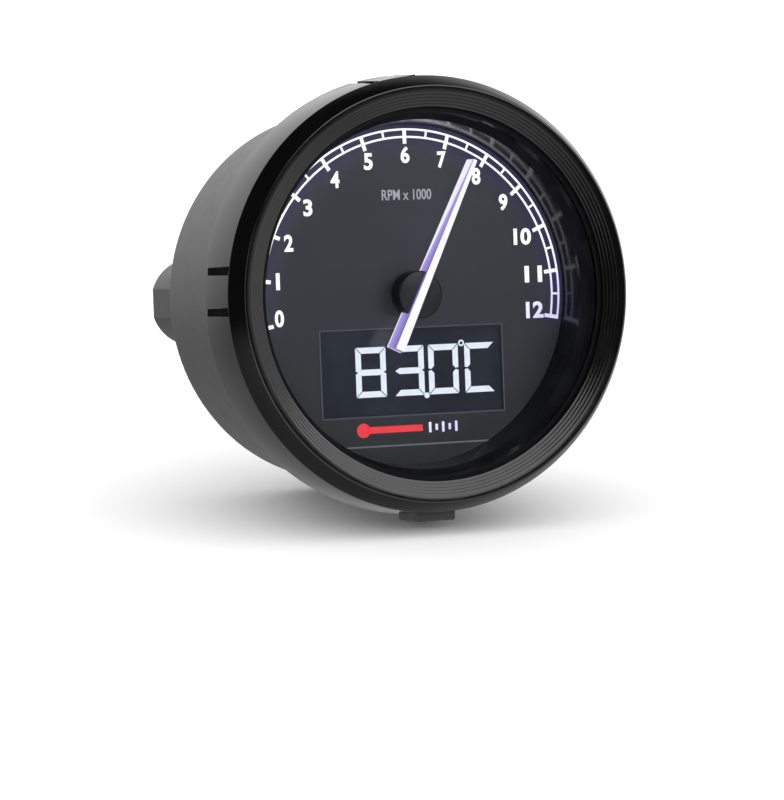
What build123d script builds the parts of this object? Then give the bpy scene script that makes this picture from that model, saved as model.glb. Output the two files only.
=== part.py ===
"""A round motorcycle instrument: a stepper-driven tachometer with a liquid-crystal thermometer.

The dial faces -Y and twelve o'clock is +Z.  The origin is midway between the two threaded
inserts, on the rear face of the mounting bosses.  Depths run back from the bezel's front rim.
"""
from build123d import *
from math import cos, radians, sin
import os

# ---------------------------------------------------------------- overall sizes
OUTER_D = 64.0                 # outside of the bezel's skirt
CASE_DEPTH = 36.6              # front rim to the housing's back face
BOSS_PROUD = 8.4               # bosses behind the back face
BOSS_SPACING = 42.0            # centre to centre of the mounting bosses
BOSS_D = 13.2
BOSS_FLAT = 4.3                # height of the flat on each boss's outer side

# ---------------------------------------------------------------- bezel
SKIRT_DEPTH = 10.9
SKIRT_DRAFT = 0.5              # the skirt is this much smaller in radius at its front
SKIRT_WALL = 1.6
BEZEL_WIDTH = 5.1              # outside of the skirt to the opening
FRONT_BEVEL = (1.55, 2.8)      # inward and forward, from the skirt to the rim
RIM_LAND = 0.65                # flat crest of the rim
RIM_BEVEL = (0.15, 0.1)        # inward and back
STEPS = 5                      # stepped slope inside the rim
SLOPE_DEPTH = 1.2
LIP = 0.6                      # thickness of the bezel at its opening
EDGE_BREAK = 0.15

TAB_ANGLES = (98.5, 177.3, 2.7)
TAB_WIDTH = 4.6
TAB_SLIT = 1.25
TAB_ROOT = 3.0                 # depth at which the slits start
HOOK_GRIP = 0.45               # how far a hook reaches behind the flange
HOOK_DEPTH = 1.0

# ---------------------------------------------------------------- fits
SLIP = 0.2                     # a skirt over a flange, a ring in a bore
LOOSE = 0.4                    # a disc inside the skirt
RUNNING = 0.05                 # a shaft in its bearing
SEAT_GAP = 0.1                 # a hook behind its flange

# ---------------------------------------------------------------- stack behind the bezel
LENS_THICK = 1.6
GASKET_THICK = 1.0
GASKET_WIDTH = 1.7
RING_FLANGE = 2.0
SEAL_THICK = 1.0
FLANGE_THICK = 1.8
FLANGE_PROUD = 0.8
DIAL_DEPTH = 10.45
DIAL_THICK = 0.8
DIAL_EDGE_D = 49.6             # the ring's inner edge where it meets the dial
RING_SET_BACK = 0.3            # ring's front edge inside the bezel's opening

# ---------------------------------------------------------------- housing
HOUSING_WALL = 2.0
HOUSING_TAPER = 1.54
HOUSING_ROUND = 0.8
POST_D = 4.8
POST_GAP = 1.25                # screw head beside the display's frame
POST_Z = 11.5
INSERT_D = 6.8
INSERT_BORE = 4.2              # M5 tapping size
INSERT_LENGTH = 8.0
INSERT_RELIEF = 0.4
GROMMET_Z = -15.0
GROMMET_HOLE = 10.0
GROMMET_FLANGE = 13.0
GROMMET_BORE = 5.2
GROMMET_LIP = 1.4
GROMMET_NOSE = 4.6
GROMMET_TIP = 8.4
VENT_Z = 15.0
VENT_HOLE = 4.0
VENT_HEAD = 6.4
VENT_THICK = 1.0

# ---------------------------------------------------------------- display and board
LCD_WINDOW = (28.9, 12.6)
LCD_Z = -11.2
LCD_SET_BACK = 0.2             # glass behind the dial plate
LCD_BORDER = 1.2               # glass beyond the window
LCD_GLASS = 1.9
LCD_FRAME_WALL = 1.0
LCD_PIN_ROOM = 1.2
LCD_PINS = 12
LCD_PIN_PITCH = 2.2
LCD_PIN_D = 0.5
FIT_GAP = 0.1                  # a moulding around the glass
BOARD_STAND = 4.55             # dial plate to board
BOARD_THICK = 1.6
BOARD_GAP = 0.5                # board edge inside the housing
PIN_STUB = 0.5                 # pins through the board
SPACER_WALL = 1.5
GUIDE_THICK = 2.0
GUIDE_INNER_D = 31.0
LED_COUNT = 7
LED_RING_D = 38.0
LED_ARC = (10.0, 170.0)
LED_SIZE = (3.0, 1.4, 1.2)
CHIP = (6.0, 6.0, 1.2)
CHIP_AT = (0.0, -15.2)
CRYSTAL = (2.0, 5.0, 1.2)
CRYSTAL_AT = (5.0, -15.2)
REGULATOR = (6.5, 6.0, 2.3)
REGULATOR_AT = (-12.0, -14.5)
SOCKET = (8.0, 4.0, 5.0)
SOCKET_AT = (12.0, -15.0)
SOCKET_WALL = 0.7
SOCKET_FLOOR = 1.2
CAPACITOR_D = 5.0
CAPACITOR_HEIGHT = 7.0
CAPACITOR_AT = ((-19.0, -1.0), (19.0, -1.0))
SCREW_D = 1.8
SCREW_LENGTH = 8.0
SCREW_HEAD = (3.8, 1.2)
SCREW_RECESS = (1.9, 0.6)

# ---------------------------------------------------------------- stepper
STEPPER_D = 30.0
STEPPER_Z = 4.0
STEPPER_DEPTH = 9.0
STEPPER_WALL = 1.0
NOSE_D = 3.4
NOSE_LENGTH = 3.8
SHAFT_D = 1.5
MODULE = 0.3
ADDENDUM = 0.9                 # tooth above and below its pitch circle, in modules
DEDENDUM = 1.25
TIP_SHARE = 0.4                # half a tip over half a tooth
BACKLASH = 0.1
OUTPUT_TEETH = 48
IDLER_TEETH = 40
IDLER_PINION = 8
ROTOR_PINION = 8
IDLER_ANGLE = 60.0             # direction from the pointer's axis to the idler
ROTOR_ANGLE = 150.0            # direction from the idler to the rotor
GEAR_FACE = 1.2
GEAR_GAP = 0.4
ARBOR_D = 1.0                  # idler and rotor pins
MAGNET_D = 6.0
MAGNET_LENGTH = 2.4
STATOR_THICK = 0.7
STATOR_GAP = 0.4
COIL = (6.5, 2.8)              # length and side
COIL_GAP = 0.2                 # coil clear of the stator's ring
COIL_ANGLES = (8.0, 235.0)     # directions from the rotor
CORE_WIDTH = 1.4
STEPPER_PIN_D = 0.6
STEPPER_PINS_AT = (9.6, 2.6)

# ---------------------------------------------------------------- pointer
REST_ANGLE = 64.2              # pointer's direction at rest, anticlockwise from three o'clock
POINTER_TOP = 6.2
POINTER_REACH = 21.4
POINTER_TAIL = 8.8
BLADE_HEIGHT = (2.3, 0.5)      # at the tail and at the tip
BLADE_FOOT = (2.3, 0.7)        # width of the lower edge at the tail and at the tip
STRIPE_WIDTH = (1.35, 0.5)
STRIPE_THICK = 0.15
HUB_D = 6.9
HUB_TOP = 6.5
HUB_BASE = 9.5
HUB_SLOT_GAP = 0.05
DIAL_HOLE = 3.2

# ---------------------------------------------------------------- adjust button
BUTTON_WIDTH = 6.0
BUTTON_FRONT = 4.2
BUTTON_PROUD = 0.85
BUTTON_THICK = 1.85
BUTTON_TRAVEL = 0.6
BUTTON_GAP = 0.2
BUTTON_FOOT = (0.4, 1.7)       # the part behind the skirt, below the skirt's outside
FOOT_MARGIN = 1.3              # foot beyond the stem's axis
STEM_D = 2.4
STEM_STAND = 2.2               # stem's axis in front of the board
STEM_GAP = 0.1
BOOT_WALL_LEFT = 1.5           # housing wall left under the boot's flat
BOOT_D = 4.6
BOOT_WALL = 0.5
SWITCH = (5.0, 3.8, 3.5)       # width, height off the board, radial length
SWITCH_INSET = 1.2             # switch inside the board's edge
PLUNGER_D = 1.8
PLUNGER_OUT = 0.75

# ---------------------------------------------------------------- derived sizes
OVERALL_DEPTH = CASE_DEPTH + BOSS_PROUD
OUTER_R = OUTER_D / 2
OPENING_R = OUTER_R - BEZEL_WIDTH
SKIRT_INNER_R = OUTER_R - SKIRT_WALL
STACK_R = SKIRT_INNER_R - LOOSE
FLANGE_R = SKIRT_INNER_R - SLIP
HOUSING_FRONT_R = FLANGE_R - FLANGE_PROUD
HOUSING_BACK_R = HOUSING_FRONT_R - HOUSING_TAPER
BORE_FRONT_R = HOUSING_FRONT_R - HOUSING_WALL
BORE_BACK_R = HOUSING_BACK_R - HOUSING_WALL
RING_FRONT_R = OPENING_R - RING_SET_BACK

LENS_FRONT = SLOPE_DEPTH + LIP
LENS_BACK = LENS_FRONT + LENS_THICK
GASKET_BACK = LENS_BACK + GASKET_THICK
RING_FLANGE_BACK = GASKET_BACK + RING_FLANGE
MOUTH = RING_FLANGE_BACK + SEAL_THICK
FLANGE_BACK = MOUTH + FLANGE_THICK
DIAL_BACK = DIAL_DEPTH + DIAL_THICK
GLASS_FRONT = DIAL_BACK + LCD_SET_BACK
GLASS_BACK = GLASS_FRONT + LCD_GLASS
BOARD_DEPTH = DIAL_BACK + BOARD_STAND
BOARD_BACK = BOARD_DEPTH + BOARD_THICK
FLOOR = CASE_DEPTH - HOUSING_WALL
STEPPER_BACK = BOARD_BACK + STEPPER_DEPTH
COVER_BACK = BOARD_BACK + STEPPER_WALL
GEAR_A = COVER_BACK + GEAR_GAP            # output gear and idler pinion
GEAR_B = GEAR_A + GEAR_FACE + GEAR_GAP    # idler wheel and rotor pinion
MAGNET_FRONT = GEAR_B + GEAR_FACE + GEAR_GAP

GLASS = (LCD_WINDOW[0] + 2 * LCD_BORDER, LCD_WINDOW[1] + 2 * LCD_BORDER)
FRAME_IN = (GLASS[0] + 2 * FIT_GAP, GLASS[1] + 2 * FIT_GAP + LCD_PIN_ROOM)
FRAME_OUT = (FRAME_IN[0] + 2 * LCD_FRAME_WALL, FRAME_IN[1] + 2 * LCD_FRAME_WALL)
FRAME_Z = LCD_Z - LCD_PIN_ROOM / 2
PIN_ROW_Z = LCD_Z - GLASS[1] / 2 - LCD_PIN_ROOM / 2

POST_X = FRAME_OUT[0] / 2 + SCREW_HEAD[0] / 2 + POST_GAP

STEM_DEPTH = BOARD_DEPTH - STEM_STAND
BUTTON_R = OUTER_R + BUTTON_PROUD
FOOT_OUTER_R = OUTER_R - BUTTON_FOOT[0]
FOOT_INNER_R = OUTER_R - BUTTON_FOOT[1]


def y_at(depth):
    """The Y of a depth behind the front rim."""
    return depth - OVERALL_DEPTH


def facing(depth):
    """A plane across the instrument that faces the rider, at a depth."""
    return Plane.XZ.offset(-y_at(depth))


def pointing(angle, depth, centre=(0.0, 0.0)):
    """A plane like facing() whose X runs at an angle, anticlockwise from three o'clock."""
    origin = (centre[0], y_at(depth), centre[1])
    return Plane(origin=origin, x_dir=(cos(radians(angle)), 0, sin(radians(angle))), z_dir=(0, -1, 0))


def polar(radius, angle, centre=(0.0, 0.0)):
    """The X and Z of a point at a radius and an angle about a centre."""
    return (centre[0] + radius * cos(radians(angle)), centre[1] + radius * sin(radians(angle)))


def bore_radius(depth):
    """The radius of the housing's tapered bore at a depth."""
    share = (depth - MOUTH) / (CASE_DEPTH - MOUTH)
    return BORE_FRONT_R + share * (BORE_BACK_R - BORE_FRONT_R)


RING_OUTER_R = bore_radius(DIAL_DEPTH) - SLIP
DIAL_R = bore_radius(DIAL_BACK) - SLIP
BOARD_R = bore_radius(BOARD_BACK) - BOARD_GAP
SPACER_R = bore_radius(BOARD_DEPTH) - SLIP
BOOT_SEAT = bore_radius(STEM_DEPTH) + BOOT_WALL_LEFT
SWITCH_OUTER = BOARD_R - SWITCH_INSET


def finish(builder, name):
    """Label a sub-part and write it."""
    builder.part.label = name
    export_step(builder.part, f"parts/{name}.step")


def ring_section(*corners):
    """Sketch a closed outline of (radius, depth) corners, to be turned about Y."""
    Polygon(*[(radius, y_at(depth)) for radius, depth in corners], align=None)


def gear_teeth(teeth, backlash=BACKLASH):
    """Sketch a spur gear with one tooth along X."""
    pitch_r = MODULE * teeth / 2
    root_r = pitch_r - DEDENDUM * MODULE
    tip_r = pitch_r + ADDENDUM * MODULE
    half = (even_tooth(teeth) - backlash) / 2
    Circle(root_r)
    with PolarLocations(0, teeth):
        Polygon(
            (root_r * 0.9, half + 0.2 * MODULE),
            (pitch_r, half),
            (tip_r, half * TIP_SHARE),
            (tip_r, -half * TIP_SHARE),
            (pitch_r, -half),
            (root_r * 0.9, -half - 0.2 * MODULE),
            align=None,
        )


def even_tooth(teeth):
    """The tooth's thickness on the pitch circle with no backlash."""
    return 2 * MODULE * teeth / 2 * sin(radians(90 / teeth))


os.makedirs("parts", exist_ok=True)

# ================================================================ bezel and window
SKIRT_FRONT_R = OUTER_R - SKIRT_DRAFT
RIM_R = SKIRT_FRONT_R - FRONT_BEVEL[0]
SLOPE_START_R = RIM_R - RIM_LAND - RIM_BEVEL[0]
TREAD = (SLOPE_START_R - OPENING_R) / STEPS
RISER = (SLOPE_DEPTH - RIM_BEVEL[1]) / STEPS

slope = [(RIM_R, 0.0), (RIM_R - RIM_LAND, 0.0), (SLOPE_START_R, RIM_BEVEL[1])]
for step in range(STEPS):
    radius = SLOPE_START_R - (step + 1) * TREAD
    slope.append((radius, RIM_BEVEL[1] + step * RISER))
    slope.append((radius, RIM_BEVEL[1] + (step + 1) * RISER))
inside = [
    (OPENING_R, LENS_FRONT),
    (SKIRT_INNER_R, LENS_FRONT),
    (SKIRT_INNER_R, SKIRT_DEPTH - EDGE_BREAK),
    (SKIRT_INNER_R + EDGE_BREAK, SKIRT_DEPTH),
    (OUTER_R - EDGE_BREAK, SKIRT_DEPTH),
    (OUTER_R, SKIRT_DEPTH - EDGE_BREAK),
    (SKIRT_FRONT_R, FRONT_BEVEL[1]),
]

with BuildPart() as front_bezel:
    with BuildSketch(Plane.XY):
        ring_section(*slope, *inside)
    revolve(axis=Axis.Y)
    for angle in TAB_ANGLES:
        # a hook behind the flange, inside each snap tab
        with BuildSketch(pointing(angle, FLANGE_BACK + SEAT_GAP)):
            hook_inner = FLANGE_R - HOOK_GRIP
            with Locations(((hook_inner + SKIRT_INNER_R + SLIP) / 2, 0)):
                Rectangle(SKIRT_INNER_R + SLIP - hook_inner, TAB_WIDTH - 2 * SLIP)
        extrude(amount=-HOOK_DEPTH)
        # the two slits that free the tab
        with BuildSketch(pointing(angle, TAB_ROOT)):
            with Locations((OUTER_R, -(TAB_WIDTH + TAB_SLIT) / 2), (OUTER_R, (TAB_WIDTH + TAB_SLIT) / 2)):
                Rectangle(4 * SKIRT_WALL, TAB_SLIT)
        extrude(amount=TAB_ROOT - SKIRT_DEPTH - 1, mode=Mode.SUBTRACT)
    # the notch that the adjust button stands in
    with BuildSketch(facing(BUTTON_FRONT - BUTTON_GAP)):
        with Locations((0, -OUTER_R)):
            Rectangle(BUTTON_WIDTH + 2 * BUTTON_GAP, 4 * SKIRT_WALL)
    extrude(amount=BUTTON_FRONT - BUTTON_GAP - SKIRT_DEPTH - 1, mode=Mode.SUBTRACT)
finish(front_bezel, "front_bezel")

with BuildPart() as lens:
    with BuildSketch(facing(LENS_BACK)):
        Circle(STACK_R)
    extrude(amount=LENS_THICK)
    chamfer(lens.edges().filter_by(GeomType.CIRCLE), EDGE_BREAK)
finish(lens, "lens")

with BuildPart() as lens_gasket:
    with BuildSketch(facing(GASKET_BACK)):
        Circle(STACK_R)
        Circle(STACK_R - GASKET_WIDTH, mode=Mode.SUBTRACT)
    extrude(amount=GASKET_THICK)
finish(lens_gasket, "lens_gasket")

with BuildPart() as dial_ring:
    with BuildSketch(Plane.XY):
        ring_section(
            (RING_FRONT_R, LENS_BACK + SEAT_GAP),
            (STACK_R - GASKET_WIDTH - SEAT_GAP, LENS_BACK + SEAT_GAP),
            (STACK_R - GASKET_WIDTH - SEAT_GAP, GASKET_BACK),
            (STACK_R, GASKET_BACK),
            (STACK_R, RING_FLANGE_BACK),
            (RING_OUTER_R, RING_FLANGE_BACK),
            (RING_OUTER_R, DIAL_DEPTH),
            (DIAL_EDGE_D / 2, DIAL_DEPTH),
        )
    revolve(axis=Axis.Y)
finish(dial_ring, "dial_ring")

with BuildPart() as housing_seal:
    with BuildSketch(facing(MOUTH)):
        Circle(STACK_R)
        Circle(STACK_R - GASKET_WIDTH, mode=Mode.SUBTRACT)
    extrude(amount=SEAL_THICK)
finish(housing_seal, "housing_seal")

# ================================================================ dial and display
with BuildPart() as dial_plate:
    with BuildSketch(facing(DIAL_BACK)):
        Circle(DIAL_R)
        Circle(DIAL_HOLE / 2, mode=Mode.SUBTRACT)
        with Locations((0, LCD_Z)):
            RectangleRounded(*LCD_WINDOW, EDGE_BREAK * 2, mode=Mode.SUBTRACT)
    extrude(amount=DIAL_THICK)
finish(dial_plate, "dial_plate")

with BuildPart() as spacer_ring:
    with BuildSketch(facing(BOARD_DEPTH)):
        Circle(SPACER_R)
        Circle(SPACER_R - SPACER_WALL, mode=Mode.SUBTRACT)
        with Locations((0, -SPACER_R)):
            Rectangle(FRAME_OUT[0] + 2 * SLIP, SPACER_R, mode=Mode.SUBTRACT)
    extrude(amount=BOARD_DEPTH - DIAL_BACK)
finish(spacer_ring, "spacer_ring")

with BuildPart() as light_guide:
    with BuildSketch(facing(DIAL_BACK + GUIDE_THICK)):
        Circle(SPACER_R - SPACER_WALL - SLIP)
        Circle(GUIDE_INNER_D / 2, mode=Mode.SUBTRACT)
        with Locations((0, FRAME_Z - OUTER_R + FRAME_OUT[1] / 2 + SLIP)):
            Rectangle(FRAME_OUT[0] + 2 * SLIP, 2 * OUTER_R, mode=Mode.SUBTRACT)
    extrude(amount=GUIDE_THICK)
finish(light_guide, "light_guide")

with BuildPart() as lcd_frame:
    with BuildSketch(facing(BOARD_DEPTH)):
        with Locations((0, FRAME_Z)):
            RectangleRounded(*FRAME_OUT, LCD_FRAME_WALL / 2)
            Rectangle(*FRAME_IN, mode=Mode.SUBTRACT)
    extrude(amount=BOARD_DEPTH - DIAL_BACK)
finish(lcd_frame, "lcd_frame")

with BuildPart() as lcd_glass:
    with BuildSketch(facing(GLASS_BACK)):
        with Locations((0, LCD_Z)):
            Rectangle(*GLASS)
    extrude(amount=LCD_GLASS)
    chamfer(lcd_glass.edges().filter_by(Axis.Y), EDGE_BREAK)
finish(lcd_glass, "lcd_glass")

with BuildPart() as lcd_backlight:
    with BuildSketch(facing(BOARD_DEPTH)):
        with Locations((0, LCD_Z)):
            Rectangle(*GLASS)
    extrude(amount=BOARD_DEPTH - GLASS_BACK)
finish(lcd_backlight, "lcd_backlight")

with BuildPart() as lcd_pins:
    with BuildSketch(facing(BOARD_BACK + PIN_STUB)):
        with Locations((0, PIN_ROW_Z)):
            with GridLocations(LCD_PIN_PITCH, 1, LCD_PINS, 1):
                Circle(LCD_PIN_D / 2)
    extrude(amount=BOARD_BACK + PIN_STUB - GLASS_FRONT - LCD_GLASS / 2)
finish(lcd_pins, "lcd_pins")

# ================================================================ main board
POSTS = [(-POST_X, -POST_Z), (-POST_X, POST_Z), (POST_X, -POST_Z), (POST_X, POST_Z)]
IDLER_AT = polar(MODULE * (OUTPUT_TEETH + IDLER_PINION) / 2, IDLER_ANGLE)
ROTOR_AT = polar(MODULE * (IDLER_TEETH + ROTOR_PINION) / 2, ROTOR_ANGLE, IDLER_AT)
STEPPER_PIN_PLACES = [
    (side * STEPPER_PINS_AT[0], STEPPER_Z + row * STEPPER_PINS_AT[1]) for side in (-1, 1) for row in (-1, 1)
]

with BuildPart() as main_board:
    with BuildSketch(facing(BOARD_BACK)):
        Circle(BOARD_R)
        Circle(NOSE_D / 2 + SLIP, mode=Mode.SUBTRACT)
        with Locations(*POSTS):
            Circle(SCREW_D / 2 + SLIP, mode=Mode.SUBTRACT)
        with Locations((0, PIN_ROW_Z)):
            with GridLocations(LCD_PIN_PITCH, 1, LCD_PINS, 1):
                Circle(LCD_PIN_D / 2, mode=Mode.SUBTRACT)
        with Locations(*STEPPER_PIN_PLACES):
            Circle(STEPPER_PIN_D / 2, mode=Mode.SUBTRACT)
    extrude(amount=BOARD_THICK)
finish(main_board, "main_board")

with BuildPart() as dial_leds:
    with BuildSketch(facing(BOARD_DEPTH)):
        with PolarLocations(LED_RING_D / 2, LED_COUNT, LED_ARC[0], LED_ARC[1] - LED_ARC[0], endpoint=True):
            Rectangle(LED_SIZE[1], LED_SIZE[0])
    extrude(amount=LED_SIZE[2])
    chamfer(dial_leds.faces().sort_by(Axis.Y)[0].edges(), EDGE_BREAK)
finish(dial_leds, "dial_leds")


def rear_package(size, place, name, edge=EDGE_BREAK):
    """A block-shaped electronic part on the board's rear side."""
    with BuildPart() as package:
        with BuildSketch(facing(BOARD_BACK)):
            with Locations(place):
                Rectangle(size[0], size[1])
        extrude(amount=-size[2])
        chamfer(package.faces().sort_by(Axis.Y)[-1].edges(), edge)
    finish(package, name)


rear_package(CHIP, CHIP_AT, "control_chip")
rear_package(CRYSTAL, CRYSTAL_AT, "clock_crystal", 2 * EDGE_BREAK)
rear_package(REGULATOR, REGULATOR_AT, "voltage_regulator")

with BuildPart() as loom_socket:
    with BuildSketch(facing(BOARD_BACK)):
        with Locations(SOCKET_AT):
            Rectangle(SOCKET[0], SOCKET[1])
    extrude(amount=-SOCKET[2])
    # the mouth that the loom's plug pushes into
    with BuildSketch(facing(BOARD_BACK + SOCKET[2])):
        with Locations(SOCKET_AT):
            Rectangle(SOCKET[0] - 2 * SOCKET_WALL, SOCKET[1] - 2 * SOCKET_WALL)
    extrude(amount=SOCKET[2] - SOCKET_FLOOR, mode=Mode.SUBTRACT)
finish(loom_socket, "loom_socket")

with BuildPart() as capacitors:
    with BuildSketch(facing(BOARD_BACK)):
        with Locations(*CAPACITOR_AT):
            Circle(CAPACITOR_D / 2)
    extrude(amount=-CAPACITOR_HEIGHT)
    fillet(capacitors.faces().group_by(Axis.Y)[-1].edges(), 2 * EDGE_BREAK)
finish(capacitors, "capacitors")

with BuildPart() as board_screws:
    with BuildSketch(facing(BOARD_DEPTH)):
        with Locations(*POSTS):
            Circle(SCREW_D / 2)
    extrude(amount=-SCREW_LENGTH)
    with BuildSketch(facing(BOARD_DEPTH)):
        with Locations(*POSTS):
            Circle(SCREW_HEAD[0] / 2)
    extrude(amount=SCREW_HEAD[1])
    with BuildSketch(facing(BOARD_DEPTH - SCREW_HEAD[1])):
        with Locations(*POSTS):
            RegularPolygon(SCREW_RECESS[0] / 2, 6)
    extrude(amount=-SCREW_RECESS[1], mode=Mode.SUBTRACT)
finish(board_screws, "board_screws")

# ================================================================ stepper motor
with BuildPart() as stepper_cover:
    with BuildSketch(facing(COVER_BACK)):
        with Locations((0, STEPPER_Z)):
            Circle(STEPPER_D / 2)
    extrude(amount=STEPPER_WALL)
    with BuildSketch(facing(BOARD_BACK)):
        Circle(NOSE_D / 2)
    extrude(amount=NOSE_LENGTH)
    # the pointer's bearing, the arbors' holes and the pins' holes
    with BuildSketch(facing(COVER_BACK)):
        Circle(SHAFT_D / 2 + RUNNING)
        with Locations(IDLER_AT, ROTOR_AT):
            Circle(ARBOR_D / 2)
        with Locations(*STEPPER_PIN_PLACES):
            Circle(STEPPER_PIN_D / 2)
    extrude(amount=NOSE_LENGTH + 2 * STEPPER_WALL, mode=Mode.SUBTRACT)
finish(stepper_cover, "stepper_cover")

with BuildPart() as stepper_case:
    with BuildSketch(facing(STEPPER_BACK)):
        with Locations((0, STEPPER_Z)):
            Circle(STEPPER_D / 2)
    extrude(amount=STEPPER_DEPTH - STEPPER_WALL)
    with BuildSketch(facing(STEPPER_BACK - STEPPER_WALL)):
        with Locations((0, STEPPER_Z)):
            Circle(STEPPER_D / 2 - STEPPER_WALL)
    extrude(amount=STEPPER_DEPTH, mode=Mode.SUBTRACT)
    with BuildSketch(facing(STEPPER_BACK)):
        Circle(SHAFT_D / 2 + RUNNING)
        with Locations(IDLER_AT, ROTOR_AT):
            Circle(ARBOR_D / 2)
    extrude(amount=STEPPER_WALL, mode=Mode.SUBTRACT)
finish(stepper_case, "stepper_case")

with BuildPart() as gear_arbors:
    with BuildSketch(facing(STEPPER_BACK)):
        with Locations(IDLER_AT, ROTOR_AT):
            Circle(ARBOR_D / 2)
    extrude(amount=STEPPER_DEPTH)
finish(gear_arbors, "gear_arbors")

with BuildPart() as output_gear:
    with BuildSketch(pointing(IDLER_ANGLE, GEAR_A + GEAR_FACE)):
        gear_teeth(OUTPUT_TEETH)
        Circle(SHAFT_D / 2, mode=Mode.SUBTRACT)
    extrude(amount=GEAR_FACE)
finish(output_gear, "output_gear")

# The pinion shows a gap to the output gear's tooth, and the wheel a tooth to the rotor.
PINION_PHASE = IDLER_ANGLE + 180 + 180 / IDLER_PINION
with BuildPart() as idler_gear:
    with BuildSketch(pointing(PINION_PHASE, GEAR_B, IDLER_AT)):
        gear_teeth(IDLER_PINION)
    extrude(amount=GEAR_FACE + GEAR_GAP)
    with BuildSketch(pointing(ROTOR_ANGLE, GEAR_B + GEAR_FACE, IDLER_AT)):
        gear_teeth(IDLER_TEETH)
    extrude(amount=GEAR_FACE)
    with BuildSketch(facing(GEAR_B + GEAR_FACE)):
        with Locations(IDLER_AT):
            Circle(ARBOR_D / 2 + RUNNING)
    extrude(amount=STEPPER_DEPTH, mode=Mode.SUBTRACT)
finish(idler_gear, "idler_gear")

ROTOR_PHASE = ROTOR_ANGLE + 180 + 180 / ROTOR_PINION
with BuildPart() as rotor_pinion:
    with BuildSketch(pointing(ROTOR_PHASE, MAGNET_FRONT, ROTOR_AT)):
        gear_teeth(ROTOR_PINION)
    extrude(amount=GEAR_FACE + GEAR_GAP)
    with BuildSketch(facing(MAGNET_FRONT)):
        with Locations(ROTOR_AT):
            Circle(ARBOR_D / 2 + RUNNING)
    extrude(amount=STEPPER_DEPTH, mode=Mode.SUBTRACT)
finish(rotor_pinion, "rotor_pinion")

with BuildPart() as rotor_magnet:
    with BuildSketch(facing(MAGNET_FRONT + MAGNET_LENGTH)):
        with Locations(ROTOR_AT):
            Circle(MAGNET_D / 2)
            Circle(ARBOR_D / 2 + RUNNING, mode=Mode.SUBTRACT)
    extrude(amount=MAGNET_LENGTH)
finish(rotor_magnet, "rotor_magnet")

STATOR_MIDDLE = MAGNET_FRONT + MAGNET_LENGTH / 2
STATOR_RING_R = MAGNET_D / 2 + STATOR_GAP + CORE_WIDTH
COIL_REACH = STATOR_RING_R + COIL_GAP + COIL[0] / 2
with BuildPart() as stator_plate:
    with BuildSketch(facing(STATOR_MIDDLE + STATOR_THICK / 2)):
        with Locations(ROTOR_AT):
            Circle(STATOR_RING_R)
    extrude(amount=STATOR_THICK)
    for coil_angle in COIL_ANGLES:
        with BuildSketch(pointing(coil_angle, STATOR_MIDDLE + STATOR_THICK / 2, ROTOR_AT)):
            with Locations((COIL_REACH / 2 + COIL[0] / 2, 0)):
                Rectangle(COIL_REACH, CORE_WIDTH)
        extrude(amount=STATOR_THICK)
    with BuildSketch(facing(STATOR_MIDDLE + STATOR_THICK)):
        with Locations(ROTOR_AT):
            Circle(MAGNET_D / 2 + STATOR_GAP)
    extrude(amount=2 * STATOR_THICK, mode=Mode.SUBTRACT)
finish(stator_plate, "stator_plate")

with BuildPart() as stepper_coils:
    for coil_angle in COIL_ANGLES:
        with BuildSketch(pointing(coil_angle, STATOR_MIDDLE + COIL[1] / 2, ROTOR_AT)):
            with Locations((COIL_REACH, 0)):
                RectangleRounded(*COIL, COIL[1] / 4)
        extrude(amount=COIL[1])
    for coil_angle in COIL_ANGLES:
        with BuildSketch(pointing(coil_angle, STATOR_MIDDLE + STATOR_THICK / 2, ROTOR_AT)):
            with Locations((COIL_REACH, 0)):
                Rectangle(2 * COIL[0], CORE_WIDTH)
        extrude(amount=STATOR_THICK, mode=Mode.SUBTRACT)
finish(stepper_coils, "stepper_coils")

with BuildPart() as stepper_pins:
    with BuildSketch(facing(COVER_BACK)):
        with Locations(*STEPPER_PIN_PLACES):
            Circle(STEPPER_PIN_D / 2)
    extrude(amount=STEPPER_WALL + BOARD_THICK + PIN_STUB)
finish(stepper_pins, "stepper_pins")

# ================================================================ pointer
with BuildPart() as pointer_shaft:
    with BuildSketch(facing(STEPPER_BACK)):
        Circle(SHAFT_D / 2)
    extrude(amount=STEPPER_BACK - HUB_BASE + (HUB_BASE - HUB_TOP) / 4)
finish(pointer_shaft, "pointer_shaft")


def blade_outline(widths):
    """Sketch the blade seen from above, with a width at its tail and at its tip."""
    Polygon(
        (-POINTER_TAIL, -widths[0] / 2),
        (POINTER_REACH, -widths[1] / 2),
        (POINTER_REACH, widths[1] / 2),
        (-POINTER_TAIL, widths[0] / 2),
        align=None,
    )


BLADE_FLOOR = POINTER_TOP + BLADE_HEIGHT[0]
REST_DIRECTION = (cos(radians(REST_ANGLE)), 0, sin(radians(REST_ANGLE)))
BLADE_SIDE = Plane(origin=(0, 0, 0), x_dir=REST_DIRECTION, z_dir=(-REST_DIRECTION[2], 0, REST_DIRECTION[0]))

with BuildPart() as pointer_blade:
    with BuildSketch(pointing(REST_ANGLE, BLADE_FLOOR)):
        blade_outline(BLADE_FOOT)
    with BuildSketch(pointing(REST_ANGLE, POINTER_TOP)):
        blade_outline(STRIPE_WIDTH)
    loft()
    # the underside rises towards the tip, and the hub leaves room for the shaft
    with BuildSketch(BLADE_SIDE):
        Polygon(
            (HUB_D / 2, -y_at(BLADE_FLOOR)),
            (POINTER_REACH + 1, -y_at(POINTER_TOP + BLADE_HEIGHT[1])),
            (POINTER_REACH + 1, -y_at(BLADE_FLOOR + 1)),
            (HUB_D / 2, -y_at(BLADE_FLOOR + 1)),
            align=None,
        )
    extrude(amount=BLADE_FOOT[0], both=True, mode=Mode.SUBTRACT)
finish(pointer_blade, "pointer_blade")

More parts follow.
